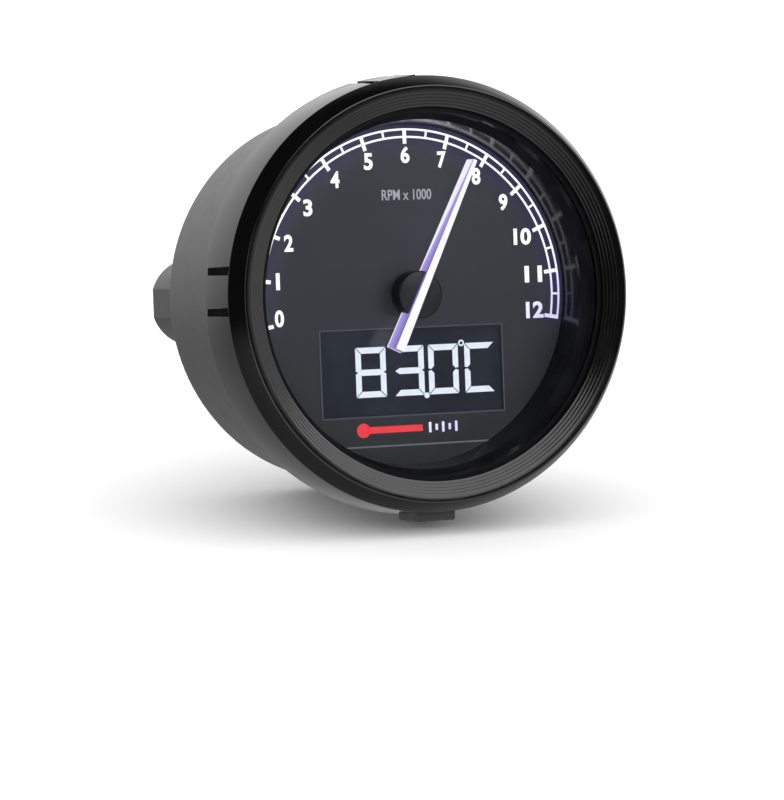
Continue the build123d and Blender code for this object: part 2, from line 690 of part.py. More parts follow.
with BuildPart() as pointer_stripe:
    with BuildSketch(pointing(REST_ANGLE, POINTER_TOP)):
        blade_outline(STRIPE_WIDTH)
    extrude(amount=STRIPE_THICK)
finish(pointer_stripe, "pointer_stripe")

with BuildPart() as pointer_hub:
    with BuildSketch(facing(HUB_BASE)):
        Circle(HUB_D / 2)
    extrude(amount=HUB_BASE - HUB_TOP)
    fillet(pointer_hub.edges().sort_by(Axis.Y)[0], 2 * EDGE_BREAK)
    with BuildSketch(pointing(REST_ANGLE, BLADE_FLOOR + HUB_SLOT_GAP)):
        Rectangle(2 * HUB_D, BLADE_FOOT[0] + 2 * HUB_SLOT_GAP)
    extrude(amount=HUB_BASE, mode=Mode.SUBTRACT)
    with BuildSketch(facing(HUB_BASE)):
        Circle(SHAFT_D / 2)
    extrude(amount=HUB_BASE, mode=Mode.SUBTRACT)
finish(pointer_hub, "pointer_hub")

# ================================================================ rear housing
with BuildPart() as rear_housing:
    with BuildSketch(Plane.XY):
        ring_section(
            (BORE_FRONT_R, MOUTH),
            (FLANGE_R, MOUTH),
            (FLANGE_R, FLANGE_BACK),
            (HOUSING_FRONT_R, FLANGE_BACK),
            (HOUSING_BACK_R, CASE_DEPTH),
            (0, CASE_DEPTH),
            (0, FLOOR),
            (bore_radius(FLOOR), FLOOR),
        )
    revolve(axis=Axis.Y)
    fillet(rear_housing.edges().filter_by(GeomType.CIRCLE).sort_by(Axis.Y)[-1], HOUSING_ROUND)
    # the posts that carry the board
    with BuildSketch(facing(FLOOR)):
        with Locations(*POSTS):
            Circle(POST_D / 2)
    extrude(amount=FLOOR - BOARD_BACK)
    # the mounting bosses, each with a flat on its outer side
    with BuildSketch(Plane.XZ):
        with GridLocations(BOSS_SPACING, 1, 2, 1):
            Circle(BOSS_D / 2)
        flat_x = BOSS_SPACING / 2 + (BOSS_D**2 - BOSS_FLAT**2) ** 0.5 / 2
        Rectangle(2 * flat_x, BOSS_D, mode=Mode.INTERSECT)
    extrude(amount=BOSS_PROUD)
    with BuildSketch(Plane.XZ):
        with GridLocations(BOSS_SPACING, 1, 2, 1):
            Circle(INSERT_D / 2)
    extrude(amount=INSERT_LENGTH + INSERT_RELIEF, mode=Mode.SUBTRACT)
    # the screws' holes, the cable grommet's hole and the vent's hole
    with BuildSketch(facing(BOARD_BACK)):
        with Locations(*POSTS):
            Circle(SCREW_D / 2)
    extrude(amount=BOARD_THICK - SCREW_LENGTH - 1, mode=Mode.SUBTRACT)
    with BuildSketch(facing(CASE_DEPTH)):
        with Locations((0, GROMMET_Z)):
            Circle(GROMMET_HOLE / 2)
        with Locations((0, VENT_Z)):
            Circle(VENT_HOLE / 2)
    extrude(amount=HOUSING_WALL, mode=Mode.SUBTRACT)
    # the flat for the button's boot, and the stem's hole
    with BuildSketch(Plane(origin=(0, y_at(STEM_DEPTH), -BOOT_SEAT), z_dir=(0, 0, -1))):
        Circle(BOOT_D / 2 + SLIP)
    extrude(amount=2 * HOUSING_WALL, mode=Mode.SUBTRACT)
    with BuildSketch(Plane(origin=(0, y_at(STEM_DEPTH), -BOOT_SEAT), z_dir=(0, 0, -1))):
        Circle(STEM_D / 2 + STEM_GAP)
    extrude(amount=-2 * HOUSING_WALL, mode=Mode.SUBTRACT)
finish(rear_housing, "rear_housing")

with BuildPart() as mounting_inserts:
    with BuildSketch(Plane.XZ):
        with GridLocations(BOSS_SPACING, 1, 2, 1):
            Circle(INSERT_D / 2)
            Circle(INSERT_BORE / 2, mode=Mode.SUBTRACT)
    extrude(amount=INSERT_LENGTH)
finish(mounting_inserts, "mounting_inserts")

with BuildPart() as cable_grommet:
    with BuildSketch(Plane.XY.offset(GROMMET_Z)):
        ring_section(
            (GROMMET_BORE / 2, FLOOR - GROMMET_LIP),
            (GROMMET_FLANGE / 2, FLOOR - GROMMET_LIP),
            (GROMMET_FLANGE / 2, FLOOR),
            (GROMMET_HOLE / 2, FLOOR),
            (GROMMET_HOLE / 2, CASE_DEPTH),
            (GROMMET_FLANGE / 2, CASE_DEPTH),
            (GROMMET_FLANGE / 2, CASE_DEPTH + GROMMET_LIP),
            (GROMMET_HOLE / 2, CASE_DEPTH + GROMMET_LIP),
            (GROMMET_TIP / 2, CASE_DEPTH + GROMMET_LIP + GROMMET_NOSE),
            (GROMMET_BORE / 2, CASE_DEPTH + GROMMET_LIP + GROMMET_NOSE),
        )
    revolve(axis=Axis((0, 0, GROMMET_Z), (0, 1, 0)))
finish(cable_grommet, "cable_grommet")

with BuildPart() as vent_plug:
    with BuildSketch(facing(CASE_DEPTH)):
        with Locations((0, VENT_Z)):
            Circle(VENT_HOLE / 2)
    extrude(amount=HOUSING_WALL)
    with BuildSketch(facing(CASE_DEPTH)):
        with Locations((0, VENT_Z)):
            Circle(VENT_HEAD / 2)
    extrude(amount=-VENT_THICK)
    chamfer(vent_plug.edges().sort_by(Axis.Y)[-1], 2 * EDGE_BREAK)
finish(vent_plug, "vent_plug")

# ================================================================ adjust button
STEM_END = SWITCH_OUTER + PLUNGER_OUT
with BuildPart() as adjust_button:
    # the pad that stands in the skirt's notch, proud of the skirt
    with BuildSketch(facing(SKIRT_DEPTH - EDGE_BREAK)):
        with Locations((0, -BUTTON_R + BUTTON_THICK / 2)):
            Rectangle(BUTTON_WIDTH, BUTTON_THICK)
    extrude(amount=SKIRT_DEPTH - EDGE_BREAK - BUTTON_FRONT)
    fillet(adjust_button.faces().sort_by(Axis.Z)[0].edges(), 2 * EDGE_BREAK)
    # the lower foot behind the skirt, and the stem through the housing's wall
    with BuildSketch(facing(STEM_DEPTH + FOOT_MARGIN)):
        with Locations((0, -(FOOT_OUTER_R + FOOT_INNER_R) / 2)):
            Rectangle(BUTTON_WIDTH, FOOT_OUTER_R - FOOT_INNER_R)
    extrude(amount=STEM_DEPTH + FOOT_MARGIN - FLANGE_BACK - BUTTON_GAP)
    with BuildSketch(Plane(origin=(0, y_at(STEM_DEPTH), -FOOT_INNER_R), z_dir=(0, 0, 1))):
        Circle(STEM_D / 2)
    extrude(amount=FOOT_INNER_R - STEM_END)
finish(adjust_button, "adjust_button")

with BuildPart() as button_boot:
    with BuildSketch(Plane(origin=(0, y_at(STEM_DEPTH), -BOOT_SEAT), z_dir=(0, 0, -1))):
        Circle(BOOT_D / 2)
        Circle(BOOT_D / 2 - BOOT_WALL, mode=Mode.SUBTRACT)
    with BuildSketch(Plane(origin=(0, y_at(STEM_DEPTH), -FOOT_INNER_R), z_dir=(0, 0, -1))):
        Circle(BOOT_D / 2 - BOOT_WALL)
        Circle(BOOT_D / 2 - 2 * BOOT_WALL, mode=Mode.SUBTRACT)
    loft()
finish(button_boot, "button_boot")

SWITCH_MIDDLE_R = SWITCH_OUTER - SWITCH[2] / 2
with BuildPart() as switch_body:
    with BuildSketch(facing(BOARD_DEPTH)):
        with Locations((0, -SWITCH_MIDDLE_R)):
            Rectangle(SWITCH[0], SWITCH[2])
    extrude(amount=SWITCH[1])
    with BuildSketch(Plane(origin=(0, y_at(STEM_DEPTH), -SWITCH_OUTER), z_dir=(0, 0, 1))):
        Circle(PLUNGER_D / 2 + STEM_GAP)
    extrude(amount=SWITCH[2] / 2, mode=Mode.SUBTRACT)
finish(switch_body, "switch_body")

with BuildPart() as switch_plunger:
    with BuildSketch(Plane(origin=(0, y_at(STEM_DEPTH), -STEM_END), z_dir=(0, 0, 1))):
        Circle(PLUNGER_D / 2)
    extrude(amount=PLUNGER_OUT + SWITCH[2] / 2 - BUTTON_TRAVEL - STEM_GAP)
finish(switch_plunger, "switch_plunger")
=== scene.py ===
"""The looks of a round motorcycle instrument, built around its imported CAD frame.

Lengths here are in millimetres and depths run back from the bezel's front rim; MM turns them into metres.
"""

import logging
from dataclasses import dataclass, field
from enum import Enum
from math import acos, atan2, cos, pi, radians, sin, tan
from typing import Iterable, Sequence

import bpy
from mathutils import Matrix, Vector


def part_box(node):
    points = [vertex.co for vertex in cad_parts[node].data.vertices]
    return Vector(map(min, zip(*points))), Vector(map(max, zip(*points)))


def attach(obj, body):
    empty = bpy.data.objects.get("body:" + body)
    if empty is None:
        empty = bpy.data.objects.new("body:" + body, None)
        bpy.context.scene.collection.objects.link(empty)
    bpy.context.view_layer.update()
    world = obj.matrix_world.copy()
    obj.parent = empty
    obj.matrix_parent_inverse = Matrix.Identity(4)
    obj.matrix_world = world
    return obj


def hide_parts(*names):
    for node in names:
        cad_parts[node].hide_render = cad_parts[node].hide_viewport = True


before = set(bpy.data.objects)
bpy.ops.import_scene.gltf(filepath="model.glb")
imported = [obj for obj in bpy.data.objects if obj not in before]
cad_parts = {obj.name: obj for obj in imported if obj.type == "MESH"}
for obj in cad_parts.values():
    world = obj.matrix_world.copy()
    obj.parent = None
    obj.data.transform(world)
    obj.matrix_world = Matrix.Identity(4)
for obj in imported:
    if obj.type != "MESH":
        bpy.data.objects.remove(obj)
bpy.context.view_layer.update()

MM = 0.001
LOG = logging.getLogger("instrument")
FRONT_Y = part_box("front_bezel")[0].y
Colour = tuple[float, float, float]
Profile = list[tuple[float, float]]
NOISE_BAND = (0.3, 0.7)       # where nearly all of a noise pattern lies


# ---------------------------------------------------------------------------------------- the bench
def at_depth(depth: float) -> float:
    """The Y, in metres, of a depth behind the front rim."""
    return FRONT_Y + depth * MM


def depth_of(y: float) -> float:
    """The depth, in millimetres, of a Y in metres."""
    return (y - FRONT_Y) / MM


def on_dial(radius: float, angle: float, depth: float) -> Vector:
    """A point on the dial's side of the instrument.

    Args:
        radius: its distance from the axis in millimetres.
        angle: its direction in degrees, anticlockwise from three o'clock.
        depth: its depth in millimetres.

    Returns:
        The point in metres.
    """
    return Vector((radius * MM * cos(radians(angle)), at_depth(depth), radius * MM * sin(radians(angle))))


def clear_selection() -> None:
    """Leave edit mode and deselect everything."""
    if bpy.context.object and bpy.context.object.mode != "OBJECT":
        bpy.ops.object.mode_set(mode="OBJECT")
    bpy.ops.object.select_all(action="DESELECT")


def take_up(*pieces: bpy.types.Object) -> bpy.types.Object:
    """Select these pieces alone and make the first one active.

    Args:
        pieces: the objects to select.

    Returns:
        The first piece.
    """
    clear_selection()
    for piece in pieces:
        piece.select_set(True)
    bpy.context.view_layer.objects.active = pieces[0]
    return pieces[0]


def settle(piece: bpy.types.Object, name: str) -> bpy.types.Object:
    """Name a piece and put its place, turn and scale into its mesh.

    Args:
        piece: a mesh object.
        name: its new name.

    Returns:
        The same piece.
    """
    take_up(piece)
    bpy.ops.object.transform_apply(location=True, rotation=True, scale=True)
    piece.name = name
    piece.data.name = name
    return piece


def true_up(piece: bpy.types.Object, gap: float = 0.0005) -> bpy.types.Object:
    """Merge a piece's doubled points and turn its faces outwards.

    Args:
        piece: a mesh object.
        gap: points closer than this, in millimetres, become one.

    Returns:
        The same piece.
    """
    take_up(piece)
    bpy.ops.object.mode_set(mode="EDIT")
    bpy.ops.mesh.select_all(action="SELECT")
    bpy.ops.mesh.remove_doubles(threshold=gap * MM)
    bpy.ops.mesh.normals_make_consistent(inside=False)
    bpy.ops.object.mode_set(mode="OBJECT")
    return piece


def modify(piece: bpy.types.Object, kind: str, **settings: object) -> bpy.types.Object:
    """Add a modifier and apply it.

    Args:
        piece: a mesh object.
        kind: the modifier's type.
        settings: its properties.

    Returns:
        The same piece.
    """
    take_up(piece)
    modifier = piece.modifiers.new(kind.lower(), kind)
    for key, value in settings.items():
        setattr(modifier, key, value)
    bpy.ops.object.modifier_apply(modifier=modifier.name)
    return piece


def break_edges(piece: bpy.types.Object, width: float, segments: int = 2,
                angle: float = 35) -> bpy.types.Object:
    """Round a piece's sharp edges.

    Args:
        piece: a mesh object.
        width: the rounding in millimetres.
        segments: faces across the rounding.
        angle: edges flatter than this, in degrees, stay as they are.

    Returns:
        The same piece.
    """
    return modify(
        piece, "BEVEL", width=width * MM, segments=segments, limit_method="ANGLE",
        angle_limit=radians(angle), harden_normals=False, use_clamp_overlap=True,
    )


def smooth(piece: bpy.types.Object, angle: float = 30) -> bpy.types.Object:
    """Shade a piece smooth across its flatter edges.

    Args:
        piece: a mesh object.
        angle: edges sharper than this, in degrees, stay sharp.

    Returns:
        The same piece.
    """
    take_up(piece)
    bpy.ops.object.shade_smooth_by_angle(angle=radians(angle))
    return piece


def block(name: str, size: Sequence[float], centre: Vector, turn: float = 0.0,
          edge: float = 0.0) -> bpy.types.Object:
    """A block with rounded edges, turned about the instrument's axis.

    Args:
        name: the piece's name.
        size: its width, depth and height in millimetres before it turns.
        centre: its centre in metres.
        turn: degrees anticlockwise as the rider sees it.
        edge: the rounding of its edges in millimetres.

    Returns:
        The new piece.
    """
    clear_selection()
    bpy.ops.mesh.primitive_cube_add(size=1, location=centre, rotation=(0, -radians(turn), 0))
    piece = bpy.context.object
    piece.scale = [length * MM for length in size]
    settle(piece, name)
    return break_edges(piece, edge) if edge else piece


def rod(name: str, radius: float, front: float, back: float, centre: tuple[float, float] = (0.0, 0.0),
        sides: int = 48, edge: float = 0.0) -> bpy.types.Object:
    """A round bar along the instrument's axis.

    Args:
        name: the piece's name.
        radius: its radius in millimetres.
        front: the depth of its front end.
        back: the depth of its rear end.
        centre: where its axis stands on the dial, in millimetres.
        sides: faces round it.
        edge: the rounding of its edges in millimetres.

    Returns:
        The new piece.
    """
    clear_selection()
    bpy.ops.mesh.primitive_cylinder_add(
        vertices=sides, radius=radius * MM, depth=(back - front) * MM, rotation=(pi / 2, 0, 0),
        location=(centre[0] * MM, at_depth((front + back) / 2), centre[1] * MM),
    )
    piece = settle(bpy.context.object, name)
    return break_edges(piece, edge) if edge else piece


def rounded(corners: Iterable[tuple[float, float, float]], arc_points: int = 4) -> Profile:
    """A closed profile whose corners are turned into arcs.

    Args:
        corners: each corner's radius, depth and rounding, in millimetres.
        arc_points: how many points stand for each arc.

    Returns:
        The (radius, depth) points of the profile.
    """
    corners = list(corners)
    points: Profile = []
    for index, (x, y, rounding) in enumerate(corners):
        here = Vector((x, y))
        before = Vector(corners[index - 1][:2]) - here
        after = Vector(corners[(index + 1) % len(corners)][:2]) - here
        if rounding <= 0:
            points.append((x, y))
            continue
        before.normalize()
        after.normalize()
        half = acos(max(-1.0, min(1.0, before.dot(after)))) / 2
        centre = here + (before + after).normalized() * rounding / sin(half)
        start = here + before * rounding / tan(half) - centre
        end = here + after * rounding / tan(half) - centre
        for step in range(arc_points):
            share = step / (arc_points - 1)
            spoke = start.lerp(end, share).normalized() * rounding
            points.append((centre.x + spoke.x, centre.y + spoke.y))
    return points


def turned(name: str, profile: Profile, steps: int = 192, start: float = 0.0,
           sweep: float = 360.0) -> bpy.types.Object:
    """Spin a closed profile about the instrument's axis, as on a lathe.

    Args:
        name: the piece's name.
        profile: (radius, depth) points in order, in millimetres.
        steps: faces round the sweep.
        start: the angle at which the sweep starts, anticlockwise from three o'clock.
        sweep: degrees swept; under 360 the two ends are closed.

    Returns:
        The new piece.
    """
    clear_selection()
    first = profile[0]
    bpy.ops.mesh.primitive_plane_add(size=0.1 * MM, location=(first[0] * MM, at_depth(first[1]), 0))
    piece = settle(bpy.context.object, name)
    bpy.ops.object.mode_set(mode="EDIT")
    bpy.ops.mesh.select_all(action="SELECT")
    bpy.ops.mesh.merge(type="CENTER")
    for here, there in zip(profile, profile[1:]):
        move = ((there[0] - here[0]) * MM, (there[1] - here[1]) * MM, 0)
        bpy.ops.mesh.extrude_region_move(TRANSFORM_OT_translate={"value": move})
    bpy.ops.mesh.select_all(action="SELECT")
    bpy.ops.mesh.edge_face_add()
    if sweep >= 360:
        bpy.ops.mesh.delete(type="ONLY_FACE")
        bpy.ops.mesh.select_all(action="SELECT")
    bpy.ops.mesh.spin(steps=steps, angle=radians(sweep), center=(0, 0, 0), axis=(0, 1, 0))
    bpy.ops.object.mode_set(mode="OBJECT")
    piece.rotation_euler = (0, -radians(start), 0)
    settle(piece, name)
    return true_up(piece)


def joined(name: str, pieces: Sequence[bpy.types.Object]) -> bpy.types.Object:
    """Make one piece of several.

    Args:
        name: the name of the whole.
        pieces: the objects that go into it.

    Returns:
        The one piece.
    """
    take_up(*pieces)
    if len(pieces) > 1:
        bpy.ops.object.join()
    piece = bpy.context.object
    piece.name = name
    piece.data.name = name
    return piece


def carved(piece: bpy.types.Object, cutters: Sequence[bpy.types.Object]) -> bpy.types.Object:
    """Cut cutters out of a piece and throw them away.

    Args:
        piece: the piece to cut.
        cutters: solids to cut away.

    Returns:
        The same piece.
    """
    cutter = joined("cutter", cutters)
    modify(piece, "BOOLEAN", operation="DIFFERENCE", solver="EXACT", object=cutter)
    bpy.data.objects.remove(cutter)
    return piece


def written(name: str, words: str, centre: Vector, height: float, width: float, weight: float,
            thick: float = 0.03) -> bpy.types.Object:
    """Words that face the rider, as a thin mesh.

    Args:
        name: the piece's name.
        words: what it says.
        centre: its centre in metres.
        height: the height of the letters in millimetres.
        width: the width of the whole in millimetres.
        weight: how far the strokes are thickened, as a share of the letters' size.
        thick: the ink's thickness in millimetres.

    Returns:
        The new piece.
    """
    clear_selection()
    bpy.ops.object.text_add()
    piece = bpy.context.object
    piece.data.body = words
    piece.data.offset = weight
    piece.data.resolution_u = 6
    piece.data.extrude = 0.01
    bpy.ops.object.convert(target="MESH")
    piece = bpy.context.object
    low = Vector([min(v.co[i] for v in piece.data.vertices) for i in range(3)])
    high = Vector([max(v.co[i] for v in piece.data.vertices) for i in range(3)])
    middle, span = (low + high) / 2, high - low
    piece.data.transform(Matrix.Translation(-middle))
    stretch = (width * MM / span.x, height * MM / span.y, thick * MM / span.z, 1)
    piece.data.transform(Matrix.Diagonal(stretch))
    piece.data.transform(Matrix.Rotation(pi / 2, 4, "X"))
    piece.data.transform(Matrix.Translation(centre))
    piece.name = name
    return true_up(piece)


# ---------------------------------------------------------------------------------------- finishes
class Grain(Enum):
    """What the surface of a finish looks like close up."""

    MOULDED = "moulded"
    POLISHED = "polished"
    BRUSHED = "brushed"
    WOUND = "wound"
    SPECKLED = "speckled"


class Wiring:
    """A material's nodes, with short ways to add and join them."""

    def __init__(self, name: str) -> None:
        """Start a material with its Principled shader.

        Args:
            name: the material's name.
        """
        self.material = bpy.data.materials.new(name)
        self.material.use_nodes = True
        self.tree = self.material.node_tree
        self.shader = self.tree.nodes["Principled BSDF"]
        self.output = self.tree.nodes["Material Output"]
        self.place = self.add("ShaderNodeTexCoord").outputs["Object"]

    def add(self, kind: str, **settings: object) -> bpy.types.Node:
        """Add a node and set its properties.

        Args:
            kind: the node's type.
            settings: its properties.

        Returns:
            The new node.
        """
        node = self.tree.nodes.new(kind)
        for key, value in settings.items():
            setattr(node, key, value)
        return node

    def join(self, source: bpy.types.NodeSocket, target: bpy.types.NodeSocket) -> None:
        """Join an output to an input."""
        self.tree.links.new(source, target)

    def noise(self, size: float, detail: float = 3.0, stretch: Colour = (1, 1, 1)) -> bpy.types.NodeSocket:
        """A noise pattern.

        Args:
            size: the rough size of its features in millimetres.
            detail: how many finer layers it has.
            stretch: how the pattern is scaled along each axis.

        Returns:
            The pattern's height, from 0 to 1.
        """
        mapping = self.add("ShaderNodeMapping")
        mapping.inputs["Scale"].default_value = stretch
        self.join(self.place, mapping.inputs["Vector"])
        noise = self.add("ShaderNodeTexNoise")
        noise.inputs["Scale"].default_value = 1 / (size * MM)
        noise.inputs["Detail"].default_value = detail
        self.join(mapping.outputs[0], noise.inputs["Vector"])
        return noise.outputs["Fac"]

    def math(self, operation: str, *values: object) -> bpy.types.NodeSocket:
        """A math node.

        Args:
            operation: what it does.
            values: numbers or sockets that feed it.

        Returns:
            Its result.
        """
        node = self.add("ShaderNodeMath", operation=operation)
        for socket, value in zip(node.inputs, values):
            if isinstance(value, bpy.types.NodeSocket):
                self.join(value, socket)
            else:
                socket.default_value = value
        return node.outputs[0]

    def span(self, source: bpy.types.NodeSocket, low: float, high: float, to_low: float, to_high: float,
             smoothly: bool = False) -> bpy.types.NodeSocket:
        """Map one range of numbers onto another, held at its ends.

        Args:
            source: the socket to map.
            low: where the range starts.
            high: where the range ends.
            to_low: the result at its start.
            to_high: the result at its end.
            smoothly: ease in and out.

        Returns:
            The mapped number.
        """
        node = self.add("ShaderNodeMapRange", interpolation_type="SMOOTHSTEP" if smoothly else "LINEAR")
        for socket, value in zip(node.inputs[1:5], (low, high, to_low, to_high)):
            socket.default_value = value
        self.join(source, node.inputs[0])
        return node.outputs[0]

    def blend(self, share: bpy.types.NodeSocket, first: object, second: object) -> bpy.types.NodeSocket:
        """Mix two colours.

        Args:
            share: how much of the second colour there is.
            first: a colour or a socket.
            second: a colour or a socket.

        Returns:
            The mixed colour.
        """
        node = self.add("ShaderNodeMix", data_type="RGBA")
        self.join(share, node.inputs[0])
        for socket, value in ((node.inputs[6], first), (node.inputs[7], second)):
            if isinstance(value, bpy.types.NodeSocket):
                self.join(value, socket)
            else:
                socket.default_value = (*value, 1)
        return node.outputs[2]

    def bump(self, height: bpy.types.NodeSocket, relief: float, strength: float = 1.0) -> None:
        """Raise the surface by a pattern.

        Args:
            height: the pattern.
            relief: the most it rises, in millimetres.
            strength: how much of the relief shows.
        """
        node = self.add("ShaderNodeBump")
        node.inputs["Distance"].default_value = relief * MM
        node.inputs["Strength"].default_value = strength
        self.join(height, node.inputs["Height"])
        self.join(node.outputs[0], self.shader.inputs["Normal"])

    def axes(self) -> tuple[bpy.types.NodeSocket, bpy.types.NodeSocket, bpy.types.NodeSocket]:
        """The place of a point in the instrument's frame.

        Returns:
            Its X, Y and Z in metres.
        """
        node = self.add("ShaderNodeSeparateXYZ")
        self.join(self.place, node.inputs[0])
        return node.outputs[0], node.outputs[1], node.outputs[2]

    def radius(self) -> bpy.types.NodeSocket:
        """The distance of a point from the instrument's axis, in metres."""
        x, _, z = self.axes()
        return self.math("SQRT", self.math("ADD", self.math("POWER", x, 2), self.math("POWER", z, 2)))


@dataclass(frozen=True)
class Finish:
    """A surface that is lit from outside: plastics, rubbers and metals."""

    name: str
    colour: Colour
    roughness: float = 0.4
    grain: Grain = Grain.MOULDED
    grain_size: float = 0.12
    relief: float = 0.004
    swing: float = 0.06
    shade: float = 0.25
    metallic: float = 0.0
    specular: float = 0.5
    cloud: float = 6.0
    smears: float = 2.5
    # How dark the painted shade between the turns of wire is.
    wire_dark: float = 0.35
    speck_light: float = 1.8
    speck_band: tuple[float, float] = (0.55, 0.62)

    def material(self) -> bpy.types.Material:
        """The material, made once and shared by whatever has this finish.

        Returns:
            The material.
        """
        made = bpy.data.materials.get(self.name)
        if made:
            return made
        wiring = Wiring(self.name)
        self.dress(wiring)
        return wiring.material

    def dress(self, wiring: Wiring) -> None:
        """Fill in the shader's nodes.

        Args:
            wiring: the material's nodes.
        """
        shader = wiring.shader
        cloud = wiring.noise(self.cloud, 4)
        darker = tuple(channel * (1 - self.shade) for channel in self.colour)
        lighter = tuple(channel * (1 + self.shade) for channel in self.colour)
        tone = wiring.blend(wiring.span(cloud, *NOISE_BAND, 0, 1), darker, lighter)
        stretch = (1, 0.03, 1) if self.grain is Grain.BRUSHED else (1, 1, 1)
        texture = wiring.noise(self.grain_size, 3, stretch)
        if self.grain is Grain.WOUND:
            wave = wiring.add("ShaderNodeTexWave", bands_direction="X")
            wave.inputs["Scale"].default_value = 1 / (self.grain_size * MM * 2 * pi) * 2
            wave.inputs["Distortion"].default_value = 0.4
            wiring.join(wiring.place, wave.inputs["Vector"])
            texture = wave.outputs["Fac"]
            # Painted shade: the wave's troughs, between the turns of wire, are darkened.
            between = tuple(channel * self.wire_dark for channel in self.colour)
            tone = wiring.blend(wiring.span(texture, 0.1, 0.6, 0, 1), between, tone)
        if self.grain is Grain.SPECKLED:
            speck = tuple(channel * self.speck_light for channel in self.colour)
            tone = wiring.blend(wiring.span(texture, *self.speck_band, 0, 1), tone, speck)
        wiring.join(tone, shader.inputs["Base Color"])
        low, high = self.roughness - self.swing, self.roughness + self.swing
        rough = wiring.span(wiring.noise(self.smears, 3), *NOISE_BAND, low, high)
        wiring.join(rough, shader.inputs["Roughness"])
        shader.inputs["Metallic"].default_value = self.metallic
        shader.inputs["Specular IOR Level"].default_value = self.specular
        wiring.bump(texture, self.relief, 0.4 if self.grain is Grain.POLISHED else 0.8)


@dataclass(frozen=True)
class LitInk(Finish):
    """Translucent ink with a lamp behind it, which fades towards one side of the dial."""

    glow: float = 1.0
    faded: Colour = (0.62, 0.60, 1.0)
    fade_from: float = 16.0
    fade_to: float = 27.0
    unevenness: tuple[float, float] = (0.92, 1.04)

    def dress(self, wiring: Wiring) -> None:
        """Fill in the shader's nodes.

        Args:
            wiring: the material's nodes.
        """
        shader = wiring.shader
        x, _, z = wiring.axes()
        lower_right = wiring.math("SUBTRACT", x, z)
        side = wiring.span(lower_right, self.fade_from * MM, self.fade_to * MM, 0, 1, True)
        uneven = wiring.span(wiring.noise(1.2, 2), *NOISE_BAND, *self.unevenness)
        tone = wiring.blend(side, self.colour, self.faded)
        wiring.join(tone, shader.inputs["Emission Color"])
        wiring.join(wiring.math("MULTIPLY", uneven, self.glow), shader.inputs["Emission Strength"])
        shader.inputs["Base Color"].default_value = (*(0.2 * c for c in self.colour), 1)
        shader.inputs["Roughness"].default_value = self.roughness


@dataclass(frozen=True)
class DialFace(Finish):
    """The dial's dark printed face, with a painted glow round the upper part of its scale and a painted
    haze over it that is brighter towards the top.
    """

    glow_radius: float = 23.6
    glow_width: float = 4.5
    # Strength of the painted glow round the scale.
    glow: float = 0.045
    haze: float = 0.026
    leak_heights: tuple[float, float] = (-9.0, 4.0)
    haze_heights: tuple[float, float] = (-26.0, 20.0)
    haze_tint: Colour = (0.75, 0.78, 1.0)
    leak_tint: Colour = (0.40, 0.32, 1.0)

    def dress(self, wiring: Wiring) -> None:
        """Fill in the shader's nodes.

        Args:
            wiring: the material's nodes.
        """
        super().dress(wiring)
        shader = wiring.shader
        _, _, z = wiring.axes()
        # Painted glow: emission near the scale's radius that fades out towards the bottom.
        away = wiring.math("ABSOLUTE", wiring.math("SUBTRACT", wiring.radius(), self.glow_radius * MM))
        near = wiring.span(away, 0, self.glow_width * MM, 1, 0, True)
        upper = wiring.span(z, *(height * MM for height in self.leak_heights), 0, 1, True)
        painted_glow_level = wiring.math("MULTIPLY", wiring.math("MULTIPLY", near, upper), self.glow)
        # Painted haze: weak emission over the whole face, brighter towards the top.
        painted_haze_level = wiring.span(z, *(height * MM for height in self.haze_heights), 0.5 * self.haze, self.haze)
        wiring.join(wiring.math("ADD", painted_glow_level, painted_haze_level), shader.inputs["Emission Strength"])
        violet = wiring.blend(wiring.span(painted_glow_level, 0, self.glow, 0, 1), self.haze_tint, self.leak_tint)
        wiring.join(violet, shader.inputs["Emission Color"])


@dataclass(frozen=True)
class DisplayGlass(Finish):
    """Dark display glass with a weak light behind it."""

    glow: float = 0.03
    tint: Colour = (0.62, 0.74, 1.0)

    def dress(self, wiring: Wiring) -> None:
        """Fill in the shader's nodes.

        Args:
            wiring: the material's nodes.
        """
        super().dress(wiring)
        patch = wiring.span(wiring.noise(9.0, 1), *NOISE_BAND, 0.7 * self.glow, self.glow)
        wiring.join(patch, wiring.shader.inputs["Emission Strength"])
        wiring.shader.inputs["Emission Color"].default_value = (*self.tint, 1)


@dataclass(frozen=True)
class PointerResin(Finish):
    """Edge-lit acrylic: lilac flanks with a white lower edge."""

    angle: float = 64.2
    hub_radius: float = 3.45
    reach: float = 22.4
    foot: float = 8.5
    foot_at_tip: float = 6.7
    edge: float = 0.34
    height: float = 2.3
    lit: Colour = (0.50, 0.40, 0.92)
    deep: Colour = (0.20, 0.14, 0.44)
    white: Colour = (0.97, 0.94, 1.0)
    body: Colour = (0.12, 0.10, 0.2)

    def dress(self, wiring: Wiring) -> None:
        """Fill in the shader's nodes.

        Args:
            wiring: the material's nodes.
        """
        shader = wiring.shader
        x, y, z = wiring.axes()
        along = wiring.math(
            "ADD", wiring.math("MULTIPLY", x, cos(radians(self.angle))),
            wiring.math("MULTIPLY", z, sin(radians(self.angle))),
        )
        feet = at_depth(self.foot), at_depth(self.foot_at_tip)
        foot = wiring.span(along, self.hub_radius * MM, self.reach * MM, *feet)
        above = wiring.math("SUBTRACT", foot, y)
        white = wiring.span(above, 0.5 * self.edge * MM, self.edge * MM, 1, 0, True)
        lilac = wiring.blend(wiring.span(above, 0, self.height * MM, 0, 1), self.lit, self.deep)
        tone = wiring.blend(white, lilac, self.white)
        wiring.join(tone, shader.inputs["Emission Color"])
        shader.inputs["Emission Strength"].default_value = 1.0
        shader.inputs["Base Color"].default_value = (*self.body, 1)
        shader.inputs["Roughness"].default_value = self.roughness
        wiring.bump(wiring.noise(1.5, 2), 0.004)


